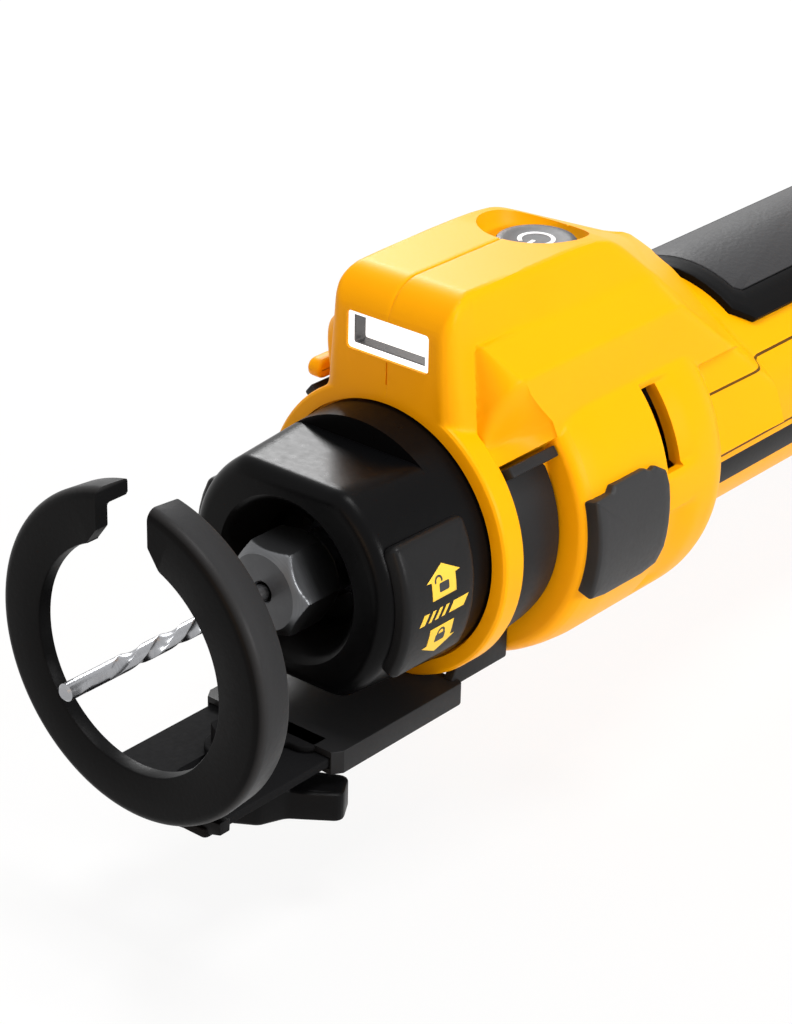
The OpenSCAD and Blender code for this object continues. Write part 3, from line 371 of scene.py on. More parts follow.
def housing_radius(x, angle):
    """Distance from the spindle to the skin at x, along a ray at an angle above the side.

    The largest of three forms: the round body, the shoulders and the top block. The last two are
    the nearest of their flat sides along the ray, and the fillets round every crossing. A slanted
    plane on each side, the stern, ends them at the rear. A quarter circle rounds the shoulders'
    front above and hollows it below, from the ring to the edge of their sides. A shallow valley
    behind the air slots is taken off the round body, but for a rib that crosses it.
    """
    side = np.maximum(np.cos(angle), 1e-4)
    rise = np.maximum(np.sin(angle), 1e-4)
    drop = np.maximum(-np.sin(angle), 1e-4)
    turn = np.degrees(angle)
    along = undrawn(x, angle)
    body = np.interp(along, round_x, round_r)
    beside_rib = plateau(turn, *valley_above_rib) + plateau(turn, *valley_below_rib)
    body = body - valley_depth * (x > valley_start) * (1 - ramp(x, valley_floor, valley_end)) * beside_rib
    foot = soft_min(foot_half / side, foot_rise / np.maximum(rise, drop), foot_corner)
    body = np.where(x > 200, soft_min(body, foot, 1.5), body)
    rail_half = np.where(x > rail_head_start, rail_head, rail_neck)
    rail = np.minimum(rail_half / side, np.minimum(rail_top / rise, rail_low / drop))
    body = np.where(x > foot_rear + 0.005, rail, body)

    top = np.interp(x, top_x, top_z) - round_off(x - block_face, block_brow)
    half = np.interp(x, block_foot_x, block_foot_half)
    lean = (half - np.interp(x, block_crown_x, block_crown_half)) / (block_top - shoulder_top)
    half = half - round_off(x - block_face, block_corner)
    wall = (half + lean * shoulder_top) / (side + lean * rise)
    stern = (stern_reach - stern_normal[0] * x) / (stern_normal[1] * side + stern_normal[2] * rise)
    top_edge = np.interp(x, [65.0, 85.0], [3.0, 1.3])
    block = soft_min(soft_min(wall, top / rise, top_edge), stern, stern_edge)
    block = block * (x >= block_face) * (x < block_end) * (np.sin(angle) > 0.05)

    edge = shoulder_half / (side + shoulder_lean * rise)
    facet = facet_reach / (facet_normal[0] * side + facet_normal[1] * rise)
    shoulder = soft_min(soft_min(soft_min(edge, facet, 0.3), shoulder_top / rise, 0.4), stern, stern_edge)
    sweep = np.clip((along - neck_start) / (body_start - neck_start), 0, 1)
    scooped = round_off(1 - sweep, 1.0)
    bulged = 1 - round_off(sweep, 1.0)
    swell = scooped + (bulged - scooped) * ramp(turn, 46.0, 56.0)
    shoulder = shoulder_foot + (shoulder - shoulder_foot) * swell
    shoulder = shoulder * ramp(turn, 36.0, 39.5) * (along > neck_start) * (x < shoulder_end)

    return soft_max(soft_max(body, shoulder, 0.3), block, 0.8)


def hollow_radius(x, angle):
    """Distance to the inside of the shell: the lowest skin within a wall either way, less the wall.

    It stays under the button's bowl. The front has the collar's recess and the bore for the nose,
    and the rear the terminals' opening.
    """
    near = [housing_radius(x + shift, angle) for shift in np.linspace(-housing_wall, housing_wall, 5)]
    inside = np.maximum(np.min(near, axis=0) - housing_wall, least_hollow)
    under_bowl = np.where(np.abs(x - bowl_place[0]) < bowl_reach, bowl_floor - bowl_wall, 60.0)
    inside = np.minimum(inside, under_bowl / np.maximum(np.sin(angle), 0.1))
    inside = np.where(x < nose_bore_end, nose_bore, inside)
    inside = np.where(x < nose_lip_end, nose_lip_bore, inside)
    inside = np.where(x < collar_recess_end, collar_recess, inside)
    terminals = np.minimum(terminal_half / np.maximum(np.cos(angle), 1e-4),
                           terminal_rise / np.maximum(np.abs(np.sin(angle)), 1e-4))
    return np.where(x > foot_rear - housing_wall, terminals, inside)


def grid_faces(rows, columns, close_rows=False, close_columns=False):
    """Quads between neighbouring points of a grid, numbered row by row."""
    i = np.arange(rows if close_rows else rows - 1)[:, None]
    j = np.arange(columns if close_columns else columns - 1)[None, :]
    next_i = (i + 1) % rows
    next_j = (j + 1) % columns
    quads = [i * columns + j, i * columns + next_j, next_i * columns + next_j, next_i * columns + j]
    return np.stack(quads, axis=-1).reshape(-1, 4).tolist()


def mesh_of(name, points, faces):
    """A mesh from points in millimetres, with its faces turned outwards."""
    mesh = bpy.data.meshes.new(name)
    mesh.from_pydata(np.asarray(points).reshape(-1, 3) * 0.001, [], faces)
    shell = bmesh.new()
    shell.from_mesh(mesh)
    bmesh.ops.recalc_face_normals(shell, faces=shell.faces)
    shell.to_mesh(mesh)
    shell.free()
    return mesh


def add_piece(name, shape, finish, body, replaced=(), sharp=32.0):
    """An object at the origin from a mesh, or from points and faces, riding on body.

    It is smooth but for edges over the sharp angle.
    """
    mesh = shape if isinstance(shape, bpy.types.Mesh) else mesh_of(name, *shape)
    mesh.materials.clear()
    mesh.materials.append(finish)
    mesh.shade_smooth()
    mesh.set_sharp_from_angle(angle=math.radians(sharp))
    piece = bpy.data.objects.new(name, mesh)
    scene.collection.objects.link(piece)
    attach(piece, body)
    if replaced:
        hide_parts(*replaced)


def loft(sections):
    """Points and faces of a solid: closed outlines in rows, joined row to row, with a cap on each end."""
    rows, columns = sections.shape[:2]
    caps = [list(range(columns)), list(range((rows - 1) * columns, rows * columns))]
    return sections.reshape(-1, 3), grid_faces(rows, columns, close_columns=True) + caps


def hoop(sections):
    """Points and faces of a solid with a hole: closed outlines in rows, the last joined to the first."""
    return sections.reshape(-1, 3), grid_faces(*sections.shape[:2], True, True)


def rounded(corners, radius, steps=5):
    """A closed outline whose corners are swapped for arcs that touch both sides of each corner."""
    corners = np.asarray(corners, float)
    radius = np.broadcast_to(np.asarray(radius, float), len(corners))[:, None]
    back = np.roll(corners, 1, axis=0) - corners
    ahead = np.roll(corners, -1, axis=0) - corners
    back = back / np.linalg.norm(back, axis=1, keepdims=True)
    ahead = ahead / np.linalg.norm(ahead, axis=1, keepdims=True)
    half = np.arccos(np.clip(np.sum(back * ahead, axis=1, keepdims=True), -1, 1)) / 2
    middle = back + ahead
    centre = corners + middle / np.linalg.norm(middle, axis=1, keepdims=True) * radius / np.sin(half)
    start = corners + back * radius / np.tan(half) - centre
    end = corners + ahead * radius / np.tan(half) - centre
    sweep = (np.pi - 2 * half)[:, None]
    t = np.linspace(0, 1, steps)[None, :, None]
    arcs = (np.sin((1 - t) * sweep) * start[:, None] + np.sin(t * sweep) * end[:, None]) / np.sin(sweep)
    return (centre[:, None] + arcs).reshape(-1, 2)


def rectangle(x0, x1, y0, y1, radius, steps=5):
    """A rectangle between two corners, with round corners."""
    return rounded([(x0, y0), (x1, y0), (x1, y1), (x0, y1)], radius, steps)


def subdivided(outline, pieces):
    """The outline with each of its sides cut into equal pieces."""
    t = np.arange(pieces)[None, :, None] / pieces
    ahead = np.roll(outline, -1, axis=0)
    return (outline[:, None] * (1 - t) + ahead[:, None] * t).reshape(-1, 2)


def inset_outline(outline, distance):
    """The outline moved inwards by a distance, along the mean normal at each point."""
    run = np.roll(outline, -1, axis=0) - np.roll(outline, 1, axis=0)
    run = run / np.linalg.norm(run, axis=1, keepdims=True)
    ahead = np.roll(outline, -1, axis=0)
    turn = np.sign(np.sum(outline[:, 0] * ahead[:, 1] - outline[:, 1] * ahead[:, 0]))
    return outline + distance * turn * np.stack([-run[:, 1], run[:, 0]], axis=1)


def stacked(steps):
    """Rows from pairs of an outline and a height, which becomes the third value of the outline's points."""
    return np.array([np.insert(outline, 2, height, axis=1) for outline, height in steps])


def slab(outline, low, high, low_edge=0.0, high_edge=0.0, steps=4):
    """Rows of a plate with the given outline from low to high, its rims rounded by quarter arcs."""
    t = np.linspace(0, np.pi / 2, steps)
    insets = np.concatenate([low_edge * (1 - np.sin(t)), high_edge * (1 - np.cos(t))])
    heights = np.concatenate([low + low_edge * (1 - np.cos(t)), high - high_edge * (1 - np.sin(t))])
    return stacked([(inset_outline(outline, inset), height) for inset, height in zip(insets, heights)])


def facing(sections):
    """Rows of a plate drawn in y and z, with its thickness along x."""
    return sections[..., [2, 0, 1]]


def across(sections):
    """Rows of a plate drawn in x and z, with its thickness along y."""
    return sections[..., [0, 2, 1]]


def bar(y_span, z_span, x_span, corner, edges=(0.0, 0.0), steps=5):
    """A solid bar along x: a rectangle in y and z with round corners, its two ends rounded by the edges."""
    return loft(facing(slab(rectangle(*y_span, *z_span, corner, steps), *x_span, *edges)))


def around(x, angle, radius, sign=-1):
    """Points at x and a radius from the spindle, at an angle above the left side, or the right for sign 1."""
    x, angle, radius = np.broadcast_arrays(x, angle, radius)
    return np.stack([x, sign * radius * np.cos(angle), radius * np.sin(angle)], axis=-1)


def wrapped(sections, girth, sign=-1):
    """Rows laid round the spindle: the second value is a length along a circle of radius girth above
    the side, and the third the radius. With per_degree as the girth, the length is an angle in degrees."""
    return around(sections[..., 0], sections[..., 1] / girth, sections[..., 2], sign)


per_degree = 180 / math.pi


def turned(profile, columns, sign=1):
    """Rows of a solid of revolution about the spindle from [x, radius] pairs."""
    profile = np.asarray(profile, float)
    return around(profile[:, :1], np.linspace(0, 2 * np.pi, columns, endpoint=False), profile[:, 1:], sign)


def upright(sections, place):
    """A solid turned about X stood up: its x becomes height above the place it is moved to."""
    return sections[..., [1, 2, 0]] + np.array([*place, 0.0])


def joined(parts):
    """Several solids as one list of points and faces."""
    starts = np.cumsum([0] + [len(points) for points, faces in parts]).tolist()
    faces = [[index + start for index in face]
             for (points, part_faces), start in zip(parts, starts) for face in part_faces]
    return np.concatenate([points for points, part_faces in parts]), faces


def carved(name, solid, cuts):
    """The mesh of a solid, given as points and faces, with a list of other solids cut out of it."""
    raw = bpy.data.objects.new(name, mesh_of(f"{name}_uncut", *solid))
    cutter = bpy.data.objects.new(f"{name}_cuts", mesh_of(f"{name}_cuts", *joined(cuts)))
    scene.collection.objects.link(raw)
    scene.collection.objects.link(cutter)
    trim = raw.modifiers.new("cuts", "BOOLEAN")
    trim.operation = "DIFFERENCE"
    trim.solver = "MANIFOLD"
    trim.object = cutter
    bpy.context.view_layer.update()
    mesh = bpy.data.meshes.new_from_object(raw.evaluated_get(bpy.context.evaluated_depsgraph_get()))
    mesh.name = name
    bpy.data.objects.remove(raw)
    bpy.data.objects.remove(cutter)
    return mesh


lens_half = 9.5
lens_low = 33.7
lens_high = 41.0
slot_front = 108.2
slot_rear = 113.6
slot_span = (11.0, 41.0)
slot_depth = 2.2
screw_places = ((78.0, 34.0), (125.0, 31.0), (123.0, -24.0), (159.0, -17.0), (222.0, -17.0),
                (263.0, 32.0), (263.0, -32.0))
screw_hole = turned([(13.0, 4.0), (60.0, 4.0)], 28)
button_well = upright(turned([(30.0, 8.1), (bowl_floor, 8.1)], 72), button_place)
bowl = upright(turned([(bowl_floor, 8.7), (43.5, 9.1), (44.2, 9.6), (45.5, 10.1), (47.0, 10.5), (48.2, 10.8),
                       (60.0, 10.8)], 72), bowl_place)
lens_pocket = bar((-lens_half, lens_half), (lens_low, lens_high), (60.0, 72.2), 0.8)
face_seam = bar((-0.16, 0.16), (29.0, 33.4), (60.0, 64.95), 0.02, steps=2)
latch_notch = bar((-10.0, 10.0), (-60.0, -35.0), (foot_rear - housing_wall, foot_rear + 1.0), 1.0)
cuts = [lens_pocket, loft(np.concatenate([button_well, bowl])), face_seam, latch_notch]
slot_mouth = subdivided(rectangle(slot_front, slot_rear, *slot_span, 0.5), 4)
slot_room = subdivided(rectangle(slot_front - 1.8, slot_rear + 0.1, slot_span[0] - 1.5, slot_span[1] + 1.5,
                                 0.5), 4)
slot_step = body_radius - slot_depth
slot = stacked([(slot_room, 25.0), (slot_room, slot_step), (slot_mouth, slot_step), (slot_mouth, 42.0)])
window = slab(rectangle(87.4, 102.2, -11.0, 11.0, 1.5), 26.0, 42.0)
cuts.extend(loft(wrapped(opening, per_degree, sign)) for name, sign in sides for opening in (slot, window))
cuts.extend(loft(screw_hole[..., [1, 0, 2]] + (x, 0.0, z)) for x, z in screw_places)
block_arc = block_face + block_brow * (1 - np.cos(np.linspace(0.06, np.pi / 2, 15)))
housing_x = np.unique(np.round(np.concatenate([
    ring_front + np.array([0.0, 0.09, 0.1, 0.25, 0.4, 0.9]), block_arc,
    neck_start + np.array([-0.6, -0.3, -0.15, -0.05, 0.0, 0.03, 0.2]), np.arange(73.8, 83.6, 0.7),
    body_start + np.array([-0.3, -0.1, -0.03, 0.0, 0.1, 0.3, 0.6, 1.0, 1.7]),
    nose_bore_end + np.array([-0.01, 0.01]), np.arange(87.3, 152.0, 1.0),
    valley_start + np.array([-0.02, 0.02]), np.arange(153.0, foot_start, 3.6),
    np.arange(foot_start, 260.0, 1.2),
    foot_rear + np.array([-10.0, -7.0, -2.41, -2.39, -0.4, -0.1, 0.0, 0.01, 1.6]),
    rail_head_start + np.array([-0.01, 0.01, 1.5]), [rail_rear]]), 3))
housing_angle = np.radians(np.concatenate([
    [-90.0, -89.7, -89.4], np.linspace(-88.0, 30.0, 82), np.linspace(31.0, 88.8, 96), [89.4, 89.7, 90.0]]))
row, column = np.meshgrid(housing_x, housing_angle, indexing="ij")
row = drawn_rows(row, column)
skin = housing_radius(row, column)
seam_half = 0.3
seam_depth = 0.35
skin = skin - seam_depth * np.clip(1 - skin * np.abs(np.cos(column)) / seam_half, 0, 1)
hollow = np.minimum(hollow_radius(row, column), skin - 0.4)
for side_name, sign in sides:
    outer = around(row, column, skin, sign)
    inner = around(row, column, hollow, sign)
    rings = np.concatenate([outer, inner[:, ::-1]], axis=1)
    row_count, ring_count = rings.shape[:2]
    near = np.arange(ring_count // 2 - 1)
    cap = np.stack([near, near + 1, ring_count - 2 - near, ring_count - 1 - near], axis=1)
    faces = grid_faces(row_count, ring_count, close_columns=True)
    faces.extend(cap.tolist())
    faces.extend((cap + (row_count - 1) * ring_count).tolist())
    shell = carved(f"{side_name}_shell", (rings, faces), cuts)
    add_piece(f"{side_name}_shell", shell, yellow, "tool", [f"{side_name}_housing"], 28.0)

# The finger: a small tongue of the right half, moulded with it, that stands out ahead of the body's
# front edge over the neck and keeps the bracket's band from turning.
finger = across(slab(rectangle(71.5, 86.0, 20.9, 24.6, 1.8), 22.0, 25.2, 0.8, 0.8))
add_piece("right_finger", loft(finger), yellow, "tool")

# The motor and its electronics: laminated stator with copper coils, magnet rotor, fan, bearings,
# boards and wires, all inside the housing. They are machined or bought parts, so the packed
# shapes stay as they are and only take their finishes.
brushed, brush_in, brush_out = surface_group("machined_surface", ["Base", "Shade"], ["Gloss"])
brush_place = add_node(brushed, "TexCoord").outputs["Object"]
brush_stretch = add_node(brushed, "Mapping", brush_place, Scale=(5200.0, 240.0, 240.0))
brush_lines = add_node(brushed, "TexNoise", brush_stretch, Scale=1.0, Detail=4.0)
brush_tint = add_node(brushed, "Mix", data_type="RGBA", Factor=brush_lines, A=brush_in.outputs["Base"],
                      B=brush_in.outputs["Shade"])
brush_rough = add_node(brushed, "Math", brush_lines, 0.16, brush_in.outputs["Gloss"],
                       operation="MULTIPLY_ADD")
feed(brushed, brush_out.inputs["Color"], brush_tint.outputs["Result"])
feed(brushed, brush_out.inputs["Roughness"], brush_rough)
feed(brushed, brush_out.inputs["Height"], brush_lines)


def metal_finish(name, base, shade, gloss, depth=0.000004):
    """A bare metal with fine tool marks round the spindle."""
    return textured_finish(name, brushed, base, shade, depth, {"Metallic": 1.0}, Gloss=gloss)


def dress(finish, *names):
    """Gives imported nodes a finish."""
    for name in names:
        nodes[name].data.materials.clear()
        nodes[name].data.materials.append(finish)


steel = metal_finish("ground_steel", (205, 207, 210), (170, 172, 176), 0.22)
dark_steel = metal_finish("dark_steel", (66, 67, 69), (54, 55, 57), 0.3)
aluminium = metal_finish("cast_aluminium", (70, 71, 73), (52, 53, 55), 0.45)
copper = metal_finish("coil_copper", (190, 108, 60), (150, 78, 40), 0.3, 0.00002)
black_plastic = moulded_finish("black_plastic", (20, 20, 21), (16, 16, 17), 900.0, 0.34, 0.14, 0.00002, 0.16)
board_green = moulded_finish("circuit_board", (24, 88, 46), (14, 66, 34), 300.0, 0.3, 0.2, 0.00003)
magnet_coat = moulded_finish("magnet_coating", (84, 86, 90), (66, 68, 72), 1200.0, 0.3, 0.2, 0.00001,
                             metal=0.7)
wire_red = moulded_finish("wire_red", (150, 30, 24), (128, 24, 20), 600.0, 0.35, 0.1, 0.00001)
wire_black = moulded_finish("wire_black", (28, 28, 29), (20, 20, 21), 600.0, 0.35, 0.1, 0.00001)
dress(steel, "motor_shaft", "rotor_core", "front_bearing", "rear_bearing", "stator_core", "button_spring",
      "lock_pin_spring", "latch_spring", "lock_pin", "collar_snap_ring")
dress(dark_steel, "collet", "lock_disc", "housing_screws", "pack_screws")
dress(aluminium, "nose_boss", "controller_module")
dress(copper, "stator_windings")
dress(black_plastic, "cooling_fan", "terminal_block")
dress(board_green, "sensor_board", "switch_board", "pack_board")
dress(magnet_coat, "rotor_magnets")
dress(wire_red, "phase_wires")
dress(wire_black, "supply_wires")

# The cutting bit: ground steel with a short round tip and two spiral flutes that run out before it.
# The collet grips its plain shank.
bit_radius = 1.5875
bit_tip = -16.0
bit_rear = 47.5
tip_length = 0.45
tip_share = 0.72
flute_pitch = 19.0
flute_start = -6.5
flute_wind = 34.0
flute_share = 0.24
flute_fades = (-13.8, -9.5, 24.0, 28.0)
bit_steel = metal_finish("bit_steel", (172, 173, 176), (140, 141, 144), 0.16, 0.000001)


def surface_rows(radius_at, x, columns):
    """Rows round the spindle at the given x, whose radius is a function of x and the angle."""
    row, column = np.meshgrid(x, np.linspace(0, 2 * np.pi, columns, endpoint=False), indexing="ij")
    return around(row, column, radius_at(row, column))


def bit_radius_at(x, angle):
    """Radius of the bit: the shank less two opposite hollows that wind round it and fade out at both ends."""
    wind = 2 * np.pi * np.clip(x - flute_start, 0, flute_wind) / flute_pitch - 0.15
    hollow = np.clip((np.cos(2 * (angle - wind)) + 0.15) / 1.15, 0, 1) ** 0.6
    tip = np.interp(x, [bit_tip, bit_tip + tip_length], [tip_share, 1.0])
    return bit_radius * tip * (1 - flute_share * plateau(x, *flute_fades) * hollow)


bit_x = np.concatenate([[bit_tip, bit_tip + 0.2, bit_tip + tip_length], np.arange(-15.0, 28.4, 0.3),
                        [32.0, bit_rear]])
add_piece("fluted_bit", loft(surface_rows(bit_radius_at, bit_x, 72)), bit_steel, "spindle",
          ["cutting_bit"], 40.0)

# The collet nut: turned from hexagon steel with its corners chamfered at both ends.
# It screws onto the spindle and its inner cone presses the collet onto the bit.
nut_flat = 8.0
nut_front = 32.0
nut_rear = 44.0
nut_face = 7.2
nut_columns = 120
nut_steel = metal_finish("nut_steel", (112, 113, 115), (90, 91, 93), 0.3)


def nut_radius_at(x, angle):
    """Radius of the nut: the nearest of six flats, cut back by a cone at each end."""
    flats = nut_flat / np.cos(np.mod(angle, np.pi / 3) - np.pi / 6)
    cone = nut_face + np.minimum(x - nut_front, nut_rear - x)
    return soft_min(flats, cone, 0.25)


nut_edge = np.array([0.0, 0.3, 0.6, 0.8, 1.0, 1.3, 1.6, 1.9, 2.2])
nut_x = np.concatenate([nut_front + nut_edge, np.linspace(35.0, 41.0, 4), nut_rear - nut_edge[::-1]])
nut_bore = turned([(nut_rear, 6.0), (40.0, 6.0), (35.0, 3.5), (35.0, 1.9), (nut_front + 0.3, 1.9),
                   (nut_front, 2.2)], nut_columns, -1)
nut_rows = np.concatenate([surface_rows(nut_radius_at, nut_x, nut_columns), nut_bore])
add_piece("hex_nut", hoop(nut_rows), nut_steel, "spindle", ["collet_nut"], 24.0)

# The nose collar: a moulded sleeve that turns on the nose to lock the spindle.
# It has a flat above and below as far as a step, and a funnel mouth round the nut.
collar_front = 38.0
collar_step = 57.3
collar_rear = 66.0
collar_x = [collar_front, collar_step, 63.5, collar_rear]
collar_r = [23.1, 24.6, 25.0, 25.0]
collar_edge = 3.0
collar_flat = 20.2
collar_columns = 180
collar_black = moulded_finish("collar_black", (9, 9, 10), (6, 6, 7), 700.0, 0.24, 0.12, 0.000015, 0.07)


def collar_radius_at(x, angle):
    """Radius of the collar: a slim cone with a rounded front edge, cut by two flats as far as the step."""
    edge = round_off(x - collar_front, collar_edge)
    cone = np.interp(x, collar_x, collar_r) - edge
    flats = np.where(x < collar_step, collar_flat - edge, 60.0) / np.maximum(np.abs(np.sin(angle)), 0.05)
    return soft_min(cone, flats, 1.1)


collar_round = collar_front + collar_edge * (1 - np.cos(np.linspace(0, np.pi / 2, 13)))
collar_grid = np.unique(np.concatenate([
    collar_x, collar_round, np.linspace(42.0, 56.5, 16),
    [57.0, 57.22, 57.28, 57.32, 57.4, 57.6], np.linspace(58.0, collar_rear, 9)]))
collar_mouth = turned([(collar_rear, 17.6), (53.0, 17.6), (53.0, 18.2), (49.0, 18.2), (49.0, 11.2),
                       (45.0, 11.4), (39.4, 14.6), (38.4, 15.4), (collar_front, 16.0)], collar_columns, -1)
collar_rows = np.concatenate([surface_rows(collar_radius_at, collar_grid, collar_columns), collar_mouth])
add_piece("twist_collar", hoop(collar_rows), collar_black, "lock_collar", ["nose_collar"],
          26.0)

# The side pads: a soft plate moulded onto each side of the collar for the fingers.
# The right one stands less proud than the left.
pad_radius = 26.0
pad_radii = {-1: pad_radius, 1: 24.6}
pad_arc = 13.9
pad_black = moulded_finish("pad_black", (24, 24, 25), (19, 19, 20), 1100.0, 0.34, 0.14, 0.00002, 0.14)


def crowned(outline, low, high, edge, steps=4):
    """Rows of a closed pad: out from the middle of its underside, up the rim, round the edge and back in."""
    middle = (outline.min(axis=0) + outline.max(axis=0)) / 2
    t = np.linspace(0, np.pi / 2, steps)
    shares = np.concatenate([[0.02, 0.3, 0.65, 1.0], np.ones(steps), [0.85, 0.65, 0.45, 0.25, 0.02]])
    insets = np.concatenate([np.zeros(4), edge * (1 - np.cos(t)), np.full(5, edge)])
    heights = np.concatenate([np.full(4, low), high - edge * (1 - np.sin(t)), np.full(5, high)])
    return stacked([(middle + share * (inset_outline(outline, inset) - middle), height)
                    for share, inset, height in zip(shares, insets, heights)])


pad_outline = subdivided(rectangle(40.5, 59.6, -pad_arc, pad_arc, 1.6), 8)
pads = [loft(wrapped(crowned(pad_outline, 22.0, pad_radii[sign], 1.3, 5), pad_radius, sign))
        for name, sign in sides]
add_piece("side_pads", joined(pads), pad_black, "lock_collar", ["collar_pads"])

# The printed signs on each pad: an arrow to the open lock, a striped bar and an arrow to the closed lock.
# They are plain signs in yellow ink, a film of print on the pad, with dark locks printed over them.
ink_yellow = moulded_finish("sign_ink", (250, 205, 60), (244, 196, 50), 900.0, 0.5, 0.1, 0.000005)
ink_dark = moulded_finish("sign_lock", (38, 38, 40), (32, 32, 34), 900.0, 0.5, 0.1, 0.000005)
sign_x = 50.6
sign_middle = -1.6
film = 0.04
bar_spans = ((-6.6, -5.2), (-4.2, -3.4), (-2.4, -1.6), (-0.6, 0.2), (1.4, 5.4))


def arrow_outline(sign):
    """A broad arrow above the bar for sign 1 and below it for sign -1, as x and length round the pad."""
    shape = np.array([(-3.2, 2.9), (3.2, 2.9), (3.2, 6.6), (4.5, 6.6), (0.0, 9.1), (-4.5, 6.6), (-3.2, 6.6)])
    return subdivided(shape * (1, sign) + (sign_x, sign_middle), 4)


def bar_piece(left, right):
    """A slanted piece of the striped bar between two places along it."""
    shape = [(left, -1.0), (right, -1.0), (right + 1.2, 1.0), (left + 1.2, 1.0)]
    return subdivided(np.array(shape) + (sign_x, sign_middle), 4)


def arc_band(start, end, count, outside, inside):
    """The outline of a flat ring's arc between two angles in degrees."""
    t = np.radians(np.linspace(start, end, count))
    ring = np.column_stack([np.cos(t), np.sin(t)])
    return np.concatenate([outside * ring, inside * ring[::-1]])


def lock_parts(sign, lift):
    """Body and shackle of a padlock on an arrow; lift swings the open shackle out of the body."""
    centre = np.array([sign_x, sign_middle + sign * 5.2])
    body = subdivided(rectangle(-1.3, 1.3, -1.2, 0.5, 0.2, 2) + centre, 3)
    shackle = arc_band(-20, 200, 13, 1.05, 0.65) + centre + (-1.4 * lift, 0.7 + 0.4 * lift)
    return body, shackle


sign_shapes = [arrow_outline(1), arrow_outline(-1), *(bar_piece(*span) for span in bar_spans)]
lock_shapes = [*lock_parts(1, 1.0), *lock_parts(-1, 0.0)]
for side_name, sign in sides:
    face = pad_radii[sign]
    signs = [loft(wrapped(crowned(shape, face - 0.2, face + film, 0.01, 2), pad_radius, sign))
             for shape in sign_shapes]
    locks = [loft(wrapped(slab(shape, face - 0.1, face + 2 * film), pad_radius, sign))
             for shape in lock_shapes]
    add_piece(f"{side_name}_signs", joined(signs), ink_yellow, "lock_collar", (), 60.0)
    add_piece(f"{side_name}_locks", joined(locks), ink_dark, "lock_collar", (), 60.0)

# The work light: a clear window in the front of the top block with a lit board behind it.
# The window is a flat polycarbonate plate pressed into the block, glowing white when the tool runs.
window_front = 68.6
window_rear = 69.4
window_fade = (0.0352, 0.0392)
lens_finish, lens_tree, lens_shader = plain_finish("light_window", Roughness=0.12, Emission_Strength=1.0)
lens_axes = add_node(lens_tree, "SeparateXYZ", add_node(lens_tree, "TexCoord").outputs["Object"])
lens_fade = add_node(lens_tree, "MapRange", lens_axes.outputs["Z"], *window_fade)
lens_glow = add_node(lens_tree, "Mix", data_type="RGBA", Factor=lens_fade, A=white, B=srgb(226, 230, 234))
feed(lens_tree, lens_shader.inputs["Emission Color"], lens_glow.outputs["Result"])
feed(lens_tree, lens_shader.inputs["Base Color"], lens_glow.outputs["Result"])
lens_plate = bar((-lens_half + 0.1, lens_half - 0.1), (lens_low + 0.1, lens_high - 0.1),
                 (window_front, window_rear), 0.7, (0.1, 0.0))
add_piece("light_window", lens_plate, lens_finish, "tool", ["led_lens"])


def window_frame(low, high):
    """Rows of a flat frame round the window, from low to high along x."""
    return facing(stacked([(window_out, low), (window_out, high), (window_in, high), (window_in, low)]))


window_out = rectangle(-lens_half + 0.05, lens_half - 0.05, lens_low + 0.05, lens_high - 0.05, 0.75)
window_in = rectangle(-lens_half + 1.1, lens_half - 1.1, lens_low + 1.0, lens_high - 0.7, 0.4)
tunnel_grey = moulded_finish("window_tunnel", (88, 89, 92), (52, 53, 56), 260.0, 0.16, 0.2, 0.00003)
add_piece("window_tunnel", hoop(window_frame(66.0, window_front)), tunnel_grey, "tool")
add_piece("window_rim", hoop(window_frame(65.1, 65.5)), lens_finish, "tool")
light_board = moulded_finish("light_board", (236, 236, 232), (226, 226, 222), 500.0, 0.4, 0.1, 0.00001)
dress(light_board, "led_board")

# The power button: a dark moulded cap that slides in the round bowl on top of the block.
# A white power sign is printed on it, and a coil spring lifts it from the switch board.
button_radius = 7.8
button_top = 45.0
sign_turn = 8.0
button_grey = moulded_finish("button_grey", (48, 48, 51), (42, 42, 45), 1000.0, 0.38, 0.12, 0.00001, 0.3)
sign_white = moulded_finish("sign_white", (240, 240, 242), (232, 232, 234), 900.0, 0.5, 0.1, 0.000005)


def spun(points, degrees):
    """Flat points turned about their origin."""
    turn = math.radians(degrees)
    return points @ np.array([[math.cos(turn), math.sin(turn)], [-math.sin(turn), math.cos(turn)]])


button_rim = [(button_top - 0.9, button_radius), (button_top - 0.45, button_radius - 0.1),
              (button_top - 0.12, button_radius - 0.4), (button_top - 0.02, button_radius - 0.9)]
button_dish = [(button_top, 6.2), (button_top - 0.12, 5.4), (button_top - 0.2, 3.0), (button_top - 0.2, 0.1)]
button_profile = [(38.4, 9.0), (39.6, 9.0), (40.4, button_radius), *button_rim, *button_dish]
add_piece("button_cap", loft(upright(turned(button_profile, 72), button_place)), button_grey, "button",
          ["power_button"], 34.0)
power_shapes = (arc_band(38, 322, 41, 3.6, 2.75) * (-1, 1), rectangle(-4.1, -0.9, -0.42, 0.42, 0.1, 2))
power_sign = [loft(slab(spun(shape, sign_turn) + button_place, button_top - 0.5, button_top - 0.12))
              for shape in power_shapes]
add_piece("power_sign", joined(power_sign), sign_white, "button", (), 60.0)

